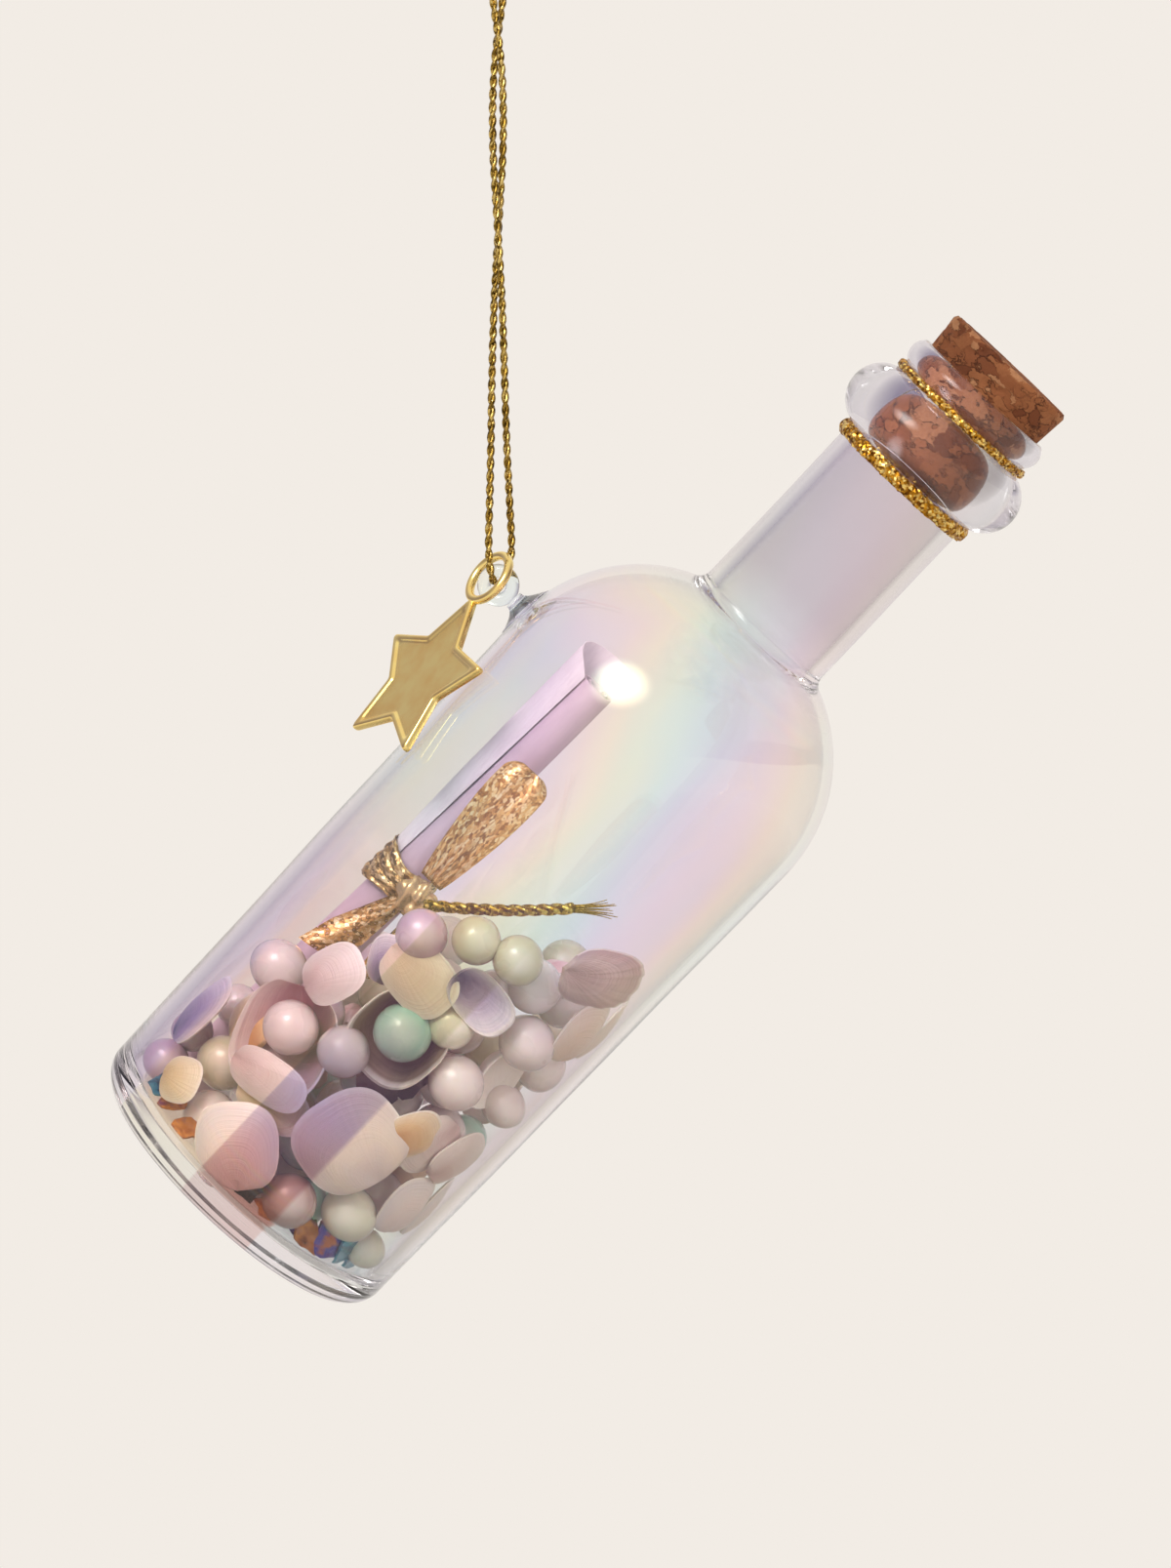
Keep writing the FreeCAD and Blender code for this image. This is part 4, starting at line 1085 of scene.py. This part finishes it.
def ribbon_twist(yarn):
    """The long end, twisted to a yarn that sags a little and frays at its tip."""
    steps = 90
    fibres = 12
    fibre_steps = 8
    direction = Vector((0.732, 0, 0.682))
    below = Vector((0.682, 0, -0.732))
    start = KNOT_AT + Vector((0.5, -3.0, 0)) + direction * 1.2
    line = []
    for step in range(steps + 1):
        share = step / steps
        line.append(start + direction * (15.2 * share) + below * (0.35 * math.sin(math.pi * share)))
    whole = plies(line, count=3, offset=0.3, radius=0.34, pitch=4.4, sides=7)
    scatter = random.Random(11)
    radii = [0.09 * (1 - 0.5 * step / fibre_steps) for step in range(fibre_steps + 1)]
    for fibre in range(fibres):
        spin = math.tau * fibre / fibres
        out = below * math.cos(spin) + Vector((0, 1, 0)) * math.sin(spin)
        reach = scatter.uniform(3.4, 4.6)
        fan = scatter.uniform(0.3, 0.75)
        points = []
        for step in range(fibre_steps + 1):
            share = step / fibre_steps
            points.append(line[-1] + direction * (reach * share) + out * (0.35 + fan * share * share))
        add_in(whole, tube(points, radii, 5))
    finished("ribbon_twist", whole, [yarn], "bottle", ["ribbon_tail"])


def ribbon(wrap_net, bow_net, end_net, yarn):
    """The gold ribbon: wrapped round the roll, tied in a knot with one loop, and three loose ends."""
    ribbon_wrap(wrap_net)
    ribbon_knot(wrap_net)
    ribbon_bow(bow_net)
    ribbon_end("left", (-1.2, 0.3, -1.5), 16, 3.9, 11.0, end_net)
    ribbon_end("right", (1.3, -0.6, -1.5), -6, 2.9, 8.6, end_net)
    ribbon_twist(yarn)


# The filling: pearls, shells and flakes


def inner_radius(height):
    """Inside radius of the glass at a height, from the rounded corner of its floor to the shoulder."""
    corner = BASE_CORNER - BASE_WALL / 2
    foot = BASE_THICKNESS + corner
    low = BASE_RADIUS - BASE_WALL
    high = BODY_RADIUS - SHOULDER_WALL
    if height < foot:
        return low - corner + math.sqrt(max(corner**2 - (foot - height) ** 2, 0))
    return low + (high - low) * (height - foot) / (BODY_HEIGHT - foot)


def outward_at(angle):
    """The way from the axis to the wall, measured from the front towards the view's right."""
    turn = math.radians(angle)
    return Vector((math.sin(turn), -math.cos(turn), 0))


def pearl(name, centre, diameter, coat, nodes):
    """A bead of slightly uneven roundness, with a small drill dimple."""
    bm = bmesh.new()
    bmesh.ops.create_icosphere(bm, subdivisions=4, radius=diameter / 2)
    dimple = Vector((math.sin(centre.x * 3), math.cos(centre.z * 2), math.sin(centre.z * 5))).normalized()
    for vert in bm.verts:
        way = vert.co.normalized()
        uneven = 0.012 * noise.noise(way * 1.4 + centre)
        hole = 0.06 * bell((way - dimple).length, 0.09)
        vert.co *= 1 - abs(uneven) - hole
    finished(name, bm, [coat], "bottle", nodes, in_bottle(centre))


def on_wall(angle, height, diameter, inset=0.0):
    """A pearl's centre where it lies against the glass, or a step in from it."""
    reach = inner_radius(height) - FILL_CLEARANCE - diameter / 2 - inset
    return outward_at(angle) * reach + Vector((0, 0, height))


# How much of a valve's depth shows as dome where its back is to the glass
SHELL_FLATNESS = 0.4


def squarer(value):
    """Bends a circle's sine or cosine towards a rounded square."""
    return math.copysign(abs(value) ** 0.74, value)


def valve(length, width, depth, ribs, rib_height):
    """One shell valve: domed from its beak to its margin, hollow beneath, thin at the margin."""
    hinge = 0.5
    wall = 0.55

    def surface(around, along, under):
        side = 2 * around - 1
        turn = math.pi + side * (math.pi - hinge)
        edge_x = -width / 2 * squarer(math.sin(turn))
        edge_y = length / 2 * (1 - squarer(math.cos(turn)))
        share = along**0.9
        wave = math.cos(side * ribs * math.pi) * (1 - side**4) if ribs else 0.0
        scallop = 1 + 0.5 * rib_height / length * wave * share
        dome = 1.25 * (1 - share**2.4) * (1 - (1 - share) ** 4)
        rise = depth * dome * math.sqrt(max(edge_y / length, 0.02))
        rise += rib_height * wave * share * (1 - 0.4 * share)
        rise -= under * wall * (1 - 0.7 * share**3)
        reach = share * scallop * (1 - 0.03 * under)
        return Vector((edge_x * reach, edge_y * reach - length / 2, rise))

    columns = 44
    rows = 22
    whole = spread(columns, rows, lambda around, along: surface(around, along, 0))
    lining = spread(columns, rows, lambda around, along: surface(around, along, 1))
    for face in lining.faces:
        face.material_index = 1
    add_in(whole, lining)
    bmesh.ops.remove_doubles(whole, verts=whole.verts, dist=0.002)
    bmesh.ops.bridge_loops(whole, edges=[edge for edge in whole.edges if edge.is_boundary])
    bmesh.ops.recalc_face_normals(whole, faces=whole.faces)
    return whole


def rim_reach(measures, height):
    """How far from the axis a cup's rim can stand before its ends touch the wall."""
    half = max(measures[:2]) / 2
    return math.sqrt((inner_radius(height) - FILL_CLEARANCE) ** 2 - half**2)


def shell_place(measures, angle, height, spin, hollow_out, inset):
    """A valve's place against the wall, its round back to the glass or, hollow out, its hollow side."""
    outward = outward_at(angle)
    tangent = Vector((-outward.y, outward.x, 0))
    turn = math.radians(spin)
    margin = Vector((0, 0, 1)) * math.cos(turn) + tangent * math.sin(turn)
    if hollow_out:
        reach = rim_reach(measures, height)
        dome = -outward
    else:
        reach = inner_radius(height) - FILL_CLEARANCE - measures[2] * SHELL_FLATNESS
        dome = outward
    turned_to = Matrix((margin.cross(dome), margin, dome)).transposed().to_4x4()
    return Matrix.Translation(outward * (reach - inset) + Vector((0, 0, height))) @ turned_to


def shell(name, row, finishes, ribs=(0, 0.0), nodes=()):
    """One shell, from its row in the lists below."""
    measures, angle, height, spin, hollow_out, inset, kind = row
    length, width, depth = measures
    bm = valve(length, width, depth if hollow_out else depth * SHELL_FLATNESS, *ribs)
    place = IN_BOTTLE @ shell_place(measures, angle, height, spin, hollow_out, inset)
    finished(name, bm, finishes[kind], "bottle", nodes, place, crease=60)


def cup_inset(measures, height, pearl_scale):
    """How far a cup steps back so that a pearl sits in its hollow, against the glass."""
    shell_wall = 0.8
    pearl_back = inner_radius(height) - FILL_CLEARANCE - PEARL_DIAMETER * pearl_scale
    return rim_reach(measures, height) - (pearl_back - FILL_CLEARANCE + measures[2] - shell_wall)


# A chip's finish: a dark ground and three bands of lustre, or the pale inner side of the shell
FLAKE_TONES = {
    "teal": ((18, 42, 60), (30, 120, 150), (90, 170, 190), (60, 60, 120)),
    "violet": ((40, 20, 60), (110, 50, 140), (60, 60, 170), (200, 110, 60)),
    "amber": ((50, 26, 14), (170, 90, 30), (220, 150, 70), (110, 50, 110)),
    "dark": ((14, 12, 14), (30, 24, 26), (70, 48, 40), (120, 80, 50)),
}
TEAL, VIOLET, AMBER, DARK, PALE_SIDE = range(5)


def flake(centre, size, facing, finish, seed):
    """A thin curved chip of shell with a broken outline, in the bottle's frame."""
    corners = 11
    stretch = 1.35
    curl = 0.06
    thickness = 0.28
    scatter = random.Random(seed)
    bm = bmesh.new()
    bmesh.ops.create_circle(bm, cap_ends=True, segments=corners, radius=size / 2)
    for vert in bm.verts:
        vert.co *= scatter.uniform(0.55, 1.1)
        vert.co.x *= stretch
    bmesh.ops.poke(bm, faces=bm.faces[:])
    bmesh.ops.subdivide_edges(bm, edges=bm.edges[:], cuts=1, use_grid_fill=True)
    for vert in bm.verts:
        vert.co.z = -curl * vert.co.x**2 + 0.12 * noise.noise(vert.co * 1.3 + centre)
    thick = bmesh.ops.extrude_face_region(bm, geom=bm.faces[:])
    lifted = [item for item in thick["geom"] if isinstance(item, bmesh.types.BMVert)]
    bmesh.ops.translate(bm, verts=lifted, vec=(0, 0, thickness))
    bmesh.ops.recalc_face_normals(bm, faces=bm.faces)
    for face in bm.faces:
        face.material_index = PALE_SIDE if face.normal.z < -0.4 else finish
    spin = Matrix.Rotation(scatter.uniform(0, math.tau), 4, "Z")
    lean = facing.to_track_quat("Z", "Y").to_matrix().to_4x4()
    bmesh.ops.transform(bm, matrix=Matrix.Translation(centre) @ lean @ spin, verts=bm.verts)
    return bm


# A pearl's coat: its light and deep tones, and its slot
PEARL_COATS = {
    "white": ((244, 236, 232), (234, 222, 222), "pearl_white"),
    "pink": ((240, 233, 229), (230, 217, 215), "pearl_pink"),
    "mint": ((190, 236, 218), (160, 214, 198), "pearl_mint"),
    "cream": ((226, 220, 194), (206, 200, 166), "pearl_cream"),
    "lilac": ((216, 190, 204), (196, 164, 186), "pearl_lilac"),
    "bronze": ((206, 178, 168), (176, 142, 134), "pearl_cream"),
    "green": ((238, 236, 216), (222, 224, 198), "pearl_mint"),
}

# Name, angle round the bottle, height, size against a whole pearl, coat
CAD_PEARLS = [
    ("pink", -24, 19.6, 1.0, "pink"),
    ("mint", 11, 27.5, 1.05, "mint"),
    ("rose", -52, 22.3, 1.0, "pink"),
    ("white", 56, 34.5, 1.0, "white"),
    ("snow", 43, 26.9, 1.0, "white"),
    ("champagne", 24, 41.0, 0.9, "cream"),
    ("lilac", -10, 36.2, 0.93, "lilac"),
    ("bronze", 25, 6.5, 1.0, "bronze"),
    ("green", 51, 9.0, 1.0, "green"),
    ("right", 92, 32.0, 0.95, "white"),
    ("small_right", 76, 27.2, 0.79, "white"),
    ("small_low", 76, 6.2, 0.74, "green"),
    ("violet", -70, 5.9, 0.84, "lilac"),
    ("rear_white", 155, 29.8, 1.0, "white"),
    ("rear_pink", 190, 31.8, 1.0, "pink"),
    ("rear_mint", 104, 20.0, 0.95, "mint"),
    ("rear_cream", 122, 35.0, 0.95, "cream"),
]

# More pearls at the front wall: angle, height, diameter, step from the wall, coat
MORE_PEARLS = [
    (-1, 21.9, 5.4, 0.2, "white"),
    (24, 31.2, 5.0, 1.2, "green"),
    (7, 39.6, 5.0, 0.6, "cream"),
    (44, 5.9, 5.2, 4.6, "mint"),
    (-76, 9.8, 4.4, 0.3, "lilac"),
    (-84, 14.6, 4.6, 2.0, "pink"),
    (36, 36.0, 4.6, 4.5, "white"),
]


def pearls(coats):
    """The front pearls at their nodes' places, and more between them."""
    for label, angle, height, scale, coat in CAD_PEARLS:
        diameter = PEARL_DIAMETER * scale
        centre = on_wall(angle, height, diameter)
        pearl(f"bead_{label}", centre, diameter, coats[coat], [f"pearl_{label}"])
    for count, (angle, height, diameter, inset, coat) in enumerate(MORE_PEARLS):
        centre = on_wall(angle, height, diameter, inset)
        pearl(f"bead_more_{count}", centre, diameter, coats[coat], ())


# A side of a shell: its tones at the beak, in the middle and at the margin, and how strong its lines are
SHELL_SIDES = {
    "white_inside": ((238, 226, 226), (246, 238, 234), (248, 242, 236), 0.1),
    "pink_back": ((236, 206, 208), (242, 222, 220), (246, 232, 228), 0.25),
    "pink_hollow": ((180, 116, 136), (202, 158, 168), (234, 213, 210), 0.2),
    "dark_back": ((120, 104, 96), (178, 164, 148), (222, 212, 188), 0.25),
    "dark_hollow": ((26, 20, 22), (46, 34, 34), (150, 132, 112), 0.3),
    "white_face": ((240, 222, 220), (246, 232, 230), (236, 232, 236), 0.18),
    "lilac_face": ((226, 214, 214), (240, 226, 212), (236, 222, 214), 0.16),
    "yellow_face": ((214, 192, 146), (236, 222, 186), (244, 236, 214), 0.25),
    "purple_face": ((84, 66, 110), (168, 148, 180), (228, 218, 224), 0.25),
    "purple_inside": ((96, 78, 122), (190, 176, 204), (236, 230, 238), 0.2),
    "cream_face": ((224, 198, 178), (240, 222, 204), (246, 234, 220), 0.4),
    "ribbed_face": ((198, 172, 162), (226, 208, 196), (204, 178, 178), 0.7),
    "orange_face": ((206, 150, 96), (232, 198, 146), (244, 226, 198), 0.25),
    "pink_face": ((212, 188, 186), (227, 214, 209), (238, 229, 224), 0.25),
}

# A kind of shell: its back, its hollow and its slot
SHELL_KINDS = {
    "pink_cup": ("pink_back", "pink_hollow", "shell_pink"),
    "dark_cup": ("dark_back", "dark_hollow", "shell_dark"),
    "white": ("white_face", "white_inside", "shell_white"),
    "lilac": ("lilac_face", "white_inside", "shell_lilac"),
    "yellow": ("yellow_face", "white_inside", "shell_cream"),
    "purple": ("purple_face", "purple_inside", "shell_lilac"),
    "cream": ("cream_face", "white_inside", "shell_cream"),
    "ribbed": ("ribbed_face", "white_inside", "shell_cream"),
    "orange": ("orange_face", "white_inside", "shell_cream"),
    "pink": ("pink_face", "white_inside", "shell_pink"),
}


def shell_finishes():
    sides = {}
    for label, (beak, middle, margin, lines) in SHELL_SIDES.items():
        sides[label] = shell_finish(f"shell_{label}", tone(*beak), tone(*middle), tone(*margin), lines)
    return {kind: [sides[back], sides[hollow]] for kind, (back, hollow, _) in SHELL_KINDS.items()}


PINK_CUP = (12.0, 11.4, 4.2)
DARK_CUP = (9.8, 9.4, 4.4)

# Name, measures, angle, height, spin, hollow side out, step from the wall, kind
CAD_SHELLS = [
    ("pink_cup", PINK_CUP, -22, 18.1, 160, True, cup_inset(PINK_CUP, 18.1, 1.0), "pink_cup"),
    ("dark_cup", DARK_CUP, 11, 26.7, 185, True, cup_inset(DARK_CUP, 26.7, 1.05), "dark_cup"),
    ("pink_small", (7.0, 5.8, 2.0), -22, 27.2, 20, False, 0.0, "pink"),
    ("white_fan", (9.0, 8.8, 3.0), -5, 7.5, -43, False, 0.0, "white"),
    ("lilac_fan", (10.6, 11.2, 3.4), 24, 15.8, -75, False, 0.0, "lilac"),
    ("yellow", (5.4, 5.0, 1.8), -39, 7.6, 60, False, 0.0, "yellow"),
    ("purple_edge", (8.8, 6.0, 2.0), -59, 13.4, 10, False, 0.0, "purple"),
    ("pale", (8.0, 6.0, 2.2), 84, 13.6, 0, False, 0.0, "white"),
    ("pink_right", (7.0, 6.2, 2.0), 65, 20.6, 30, False, 0.0, "pink"),
    ("ribbed", (10.0, 7.0, 2.4), 52, 45.0, 75, False, 0.0, "ribbed"),
    ("cream", (8.0, 6.0, 2.2), 86, 39.6, 10, False, 0.0, "cream"),
    ("purple_small", (5.2, 4.4, 1.6), -15, 31.6, -30, False, 3.4, "purple"),
    ("rear_low", (11.0, 10.0, 3.2), 180, 8.6, 0, False, 0.0, "cream"),
    ("rear_right", (11.0, 10.0, 3.2), 137, 10.5, 30, False, 0.0, "pink"),
    ("rear_left", (10.0, 9.0, 3.0), 222, 13.0, -40, False, 0.0, "lilac"),
    ("rear_middle", (11.0, 10.0, 3.4), 168, 20.6, 180, True, 0.0, "pink_cup"),
    ("rear_upper", (9.0, 8.0, 2.6), 206, 23.6, 60, False, 0.0, "white"),
    ("rear_top", (9.6, 8.8, 3.0), 130, 25.5, 200, False, 0.0, "cream"),
]

# The ribbed shells: how many ribs, and how high they stand
RIBS = {"ribbed": (13, 0.1), "rear_low": (9, 0.14), "rear_upper": (10, 0.12)}

# More shells near the front wall, in the same order but without a name
MORE_SHELLS = [
    ((8.2, 5.2, 1.8), -8, 12.9, 80, False, 2.4, "yellow"),
    ((8.4, 6.6, 2.4), 1, 33.0, 95, False, 1.2, "cream"),
    ((8.0, 5.2, 1.6), 24, 35.4, 100, True, 1.4, "purple"),
    ((8.0, 6.0, 2.2), 62, 29.4, 160, True, 2.6, "white"),
    ((6.0, 5.4, 1.8), 41, 20.4, 40, False, 0.6, "orange"),
    ((5.6, 4.6, 1.6), 74, 40.5, 120, False, 4.0, "purple"),
    ((7.6, 6.4, 2.2), -47, 16.2, -70, False, 3.2, "orange"),
    ((7.6, 6.4, 2.2), 63, 13.4, -17, False, 0.1, "white"),
    ((8.0, 6.2, 2.2), 66, 38.9, -17, False, 0.1, "cream"),
    ((9.0, 4.8, 1.8), -14, 14.6, 77, False, 0.9, "pink"),
    ((7.2, 6.4, 2.2), 51, 20.2, 200, False, 0.8, "pink"),
]


def shells(finishes):
    """The front and rear shells at their nodes' places, and more between them."""
    for label, *row in CAD_SHELLS:
        shell(f"valve_{label}", row, finishes, RIBS.get(label, (0, 0.0)), [f"shell_{label}"])
    for count, row in enumerate(MORE_SHELLS):
        shell(f"valve_more_{count}", row, finishes)


def clear_of_glass(bm, outward):
    """Moves a chip up off the floor of the glass and in from its wall, where it would reach into them."""
    room = 0.1
    # The points beside a chip's middle come in by less than it steps
    slack = 1.1
    rise = max(BASE_THICKNESS + room - min(vert.co.z for vert in bm.verts), 0)
    bmesh.ops.translate(bm, verts=bm.verts, vec=(0, 0, rise))
    past = max(vert.co.xy.length + room - inner_radius(vert.co.z) for vert in bm.verts)
    bmesh.ops.translate(bm, verts=bm.verts, vec=outward * -max(past, 0) * slack)
    return bm


def flakes():
    """Chips of dark shell, most of them on the floor of the bottle at its lower edge."""
    finishes = []
    for label, tones in FLAKE_TONES.items():
        finishes.append(flake_lustre(f"flake_{label}", *(tone(*values) for values in tones)))
    finishes.append(heap_shell("flake_pale_side", tone(236, 230, 232), tone(214, 204, 214)))
    # Angle, reach from the axis, height, size, finish
    chips = [
        (-51, 15.0, 5.0, 3.2, TEAL),
        (-40, 14.8, 4.8, 3.2, AMBER),
        (-24, 14.6, 4.8, 3.2, AMBER),
        (8, 14.0, 5.4, 3.8, DARK),
        (22, 14.4, 5.0, 4.0, AMBER),
        (31, 13.4, 5.8, 4.6, VIOLET),
        (39, 14.6, 4.8, 4.0, AMBER),
        (53, 14.2, 5.2, 4.8, VIOLET),
        (66, 14.2, 5.4, 5.2, TEAL),
        (80, 14.4, 5.0, 4.4, TEAL),
        (100, 14.2, 3.4, 5.0, TEAL),
        (140, 14.0, 3.5, 5.0, DARK),
        (180, 14.2, 3.4, 5.0, VIOLET),
        (220, 14.0, 3.5, 5.0, AMBER),
        (260, 14.2, 3.6, 4.6, TEAL),
        (12, 9.6, 3.4, 5.6, PALE_SIDE),
        (44, 9.4, 3.6, 5.4, PALE_SIDE),
        (18, 12.5, 22.0, 5.4, DARK),
        (30, 11.8, 24.0, 4.6, DARK),
    ]
    whole = bmesh.new()
    for count, (angle, reach, height, size, finish) in enumerate(chips):
        centre = outward_at(angle) * reach + Vector((0, 0, height))
        facing = outward_at(angle) + Vector((0, 0, 0.9 if height < 5 else 0.2))
        chip = flake(centre, size, facing.normalized(), finish, count + 3)
        add_in(whole, clear_of_glass(chip, outward_at(angle)))
    finished("shell_chips", whole, finishes, "bottle", ["shell_flakes"], crease=30)


def heap(coats):
    """The loose pearls and small shells behind the front ones keep their CAD forms."""
    for kind in ("white", "pink", "cream", "mint", "lilac"):
        dress(f"pearl_heap_{kind}", coats[kind])
    for kind, light, deep in (
        ("white", tone(244, 232, 228), tone(226, 206, 206)),
        ("pink", tone(240, 214, 214), tone(214, 164, 174)),
        ("cream", tone(240, 224, 196), tone(206, 172, 140)),
    ):
        dress(f"shell_heap_{kind}", heap_shell(f"heap_shell_{kind}", light, deep))


def dress(node, material):
    """Gives a CAD node that stays in view its finish."""
    slots = NODES[node].data.materials
    slots.clear()
    slots.append(material)


# Light, floor and background


def soft_edge(data):
    """Dims a lamp towards its rim, so that its mirror image in the glass fades out."""
    data.use_nodes = True
    nodes = Nodes(data.node_tree)
    place = nodes.add("NewGeometry").outputs["Parametric"]
    away = nodes.add("VectorMath", {0: place, 1: (0.5, 0.5, 0)}, operation="DISTANCE").outputs["Value"]
    fade = nodes.between(away, 0.5, 0.05, ease="SMOOTHSTEP")
    nodes.feed(nodes.tree.nodes["Emission"], "Strength", fade)


def sky():
    """The background as seen, a like one with darker sides for mirror images, and a dim one for light."""
    world = bpy.data.worlds.new("studio")
    bpy.context.scene.world = world
    world.use_nodes = True
    nodes = Nodes(world.node_tree)
    path = nodes.add("LightPath").outputs
    bent = nodes.math("MAXIMUM", path["Is Glossy Ray"], path["Is Transmission Ray"])
    seen = nodes.math("MAXIMUM", path["Is Camera Ray"], bent)
    direction = nodes.parts(nodes.add("TexCoord").outputs["Generated"])
    sides = nodes.between(nodes.math("ABSOLUTE", direction["X"]), 0.4, 0.9)
    mirrored = nodes.mix(sides, BACKGROUND, tone(154, 146, 164))
    shown = nodes.mix(path["Is Camera Ray"], mirrored, BACKGROUND)
    dim = (0.25, 0.243, 0.24, 1)
    nodes.feed(nodes.tree.nodes["Background"], "Color", nodes.mix(seen, dim, shown))


def lamps():
    """Three soft lamps; the glass and the metal mirror the first alone."""
    aim = Vector((0.0, 0.0, -0.095))
    # Name, place, width, height, power, colour, mirrored by glass and metal
    for name, place, width, height, power, colour, mirrored in (
        ("key", (-0.1, -0.42, 0.3), 0.46, 0.38, 4.6, (1.0, 0.98, 0.95), True),
        ("side", (0.5, -0.25, 0.05), 0.2, 0.5, 1.25, (1.0, 0.98, 0.97), False),
        ("back", (-0.35, 0.4, 0.2), 0.3, 0.3, 0.8, (1.0, 0.97, 0.96), False),
    ):
        data = bpy.data.lights.new(name, "AREA")
        data.shape = "ELLIPSE"
        data.size = width
        data.size_y = height
        data.energy = power
        data.color = colour
        if mirrored:
            soft_edge(data)
        lamp = bpy.data.objects.new(name, data)
        lamp.location = place
        lamp.visible_glossy = mirrored
        lamp.visible_transmission = mirrored
        lamp.rotation_euler = (aim - Vector(place)).to_track_quat("-Z", "Y").to_euler()
        bpy.context.scene.collection.objects.link(lamp)


def floor():
    """A plain pale floor well below the hanging bottle, which fades into the background."""
    depth = 0.42
    bm = bmesh.new()
    bmesh.ops.create_grid(bm, x_segments=1, y_segments=1, size=4.0)
    bmesh.ops.translate(bm, verts=bm.verts, vec=(0, 0, -depth))
    mesh = bpy.data.meshes.new("floor")
    bm.to_mesh(mesh)
    bm.free()
    finish = Finish("pale_floor", Roughness=0.9)
    finish.colour(BACKGROUND)
    place = finish.add("TexCoord").outputs["Object"]
    flat = finish.add("VectorMath", {0: place, 1: (1, 1, 0)}, operation="MULTIPLY").outputs[0]
    away = finish.add("VectorMath", {0: flat}, operation="LENGTH").outputs["Value"]
    path = finish.add("LightPath").outputs
    seen = finish.math("MAXIMUM", path["Is Camera Ray"], path["Is Transmission Ray"])
    seen = finish.math("MAXIMUM", seen, path["Is Glossy Ray"])
    glow = finish.add("Emission", {"Color": BACKGROUND, "Strength": 1.0}).outputs[0]
    finish.give_way(finish.math("MULTIPLY", seen, finish.between(away, 0.25, 0.7)), glow)
    mesh.materials.append(finish.material)
    ground = bpy.data.objects.new("floor", mesh)
    bpy.context.scene.collection.objects.link(ground)


camera()
cord_tones = tone(232, 204, 126), tone(170, 136, 58), tone(84, 64, 20)
hanging_cord(gold_thread("cord_thread", cord_tones, (6.0, 520.0, 1.0)))
bottle(opal_glass("opal_glass", 1.0))
eyelet(opal_glass("eyelet_glass", 0.0))
stopper(cork_bark())
glitter = gold_glitter()
glitter_ring("glitter_upper", "glitter_band_upper", RING_TOP, LIP_FOOT, glitter, 1)
glitter_ring("glitter_lower", "glitter_band_lower", RING_BASE - BAND_HEIGHT, RING_BASE, glitter, 2)
star(star_gold("star_rim", 0.16, 0.12), star_gold("star_face", 0.34, 0.5))
scroll(
    lilac_paper("lilac_paper", tone(222, 203, 216), tone(212, 190, 208), tone(222, 196, 203)),
    # The leaf's paler paper: partly the sheet's paler inner side, partly painted light against the shade
    # in the gap behind the leaf
    lilac_paper("lilac_paper_inner_and_lit", tone(246, 240, 244), tone(236, 228, 238), tone(246, 240, 242)),
)
wrap_tones = tone(255, 234, 178), tone(206, 168, 106), tone(120, 90, 50)
bow_tones = tone(255, 238, 188), tone(240, 194, 120), tone(176, 118, 58)
end_tones = tone(255, 240, 192), tone(226, 180, 108), tone(140, 96, 46)
yarn_tones = tone(236, 208, 110), tone(166, 130, 34), tone(84, 58, 12)
ribbon(
    ribbon_net("ribbon_wrapped", wrap_tones, (40, 22, 1), 0.9),
    ribbon_net("ribbon_loose", bow_tones, (22, 70, 1), 0.4),
    ribbon_net("ribbon_ends", end_tones, (11, 26, 1), 0.36),
    gold_thread("ribbon_yarn", yarn_tones, (5, 60, 1)),
)
coats = {}
for coat, (light, deep, _) in PEARL_COATS.items():
    coats[coat] = pearl_coat(f"pearl_{coat}", tone(*light), tone(*deep))
pearls(coats)
shells(shell_finishes())
flakes()
heap(coats)
sky()
lamps()
floor()
bpy.context.scene.view_settings.view_transform = "Standard"
# Light crosses many glass walls and is mirrored inside the thick base
light_bounces = 32
bpy.context.scene.cycles.max_bounces = light_bounces
bpy.context.scene.cycles.transmission_bounces = light_bounces
bpy.context.scene.cycles.glossy_bounces = light_bounces

bpy.context.view_layer.update()
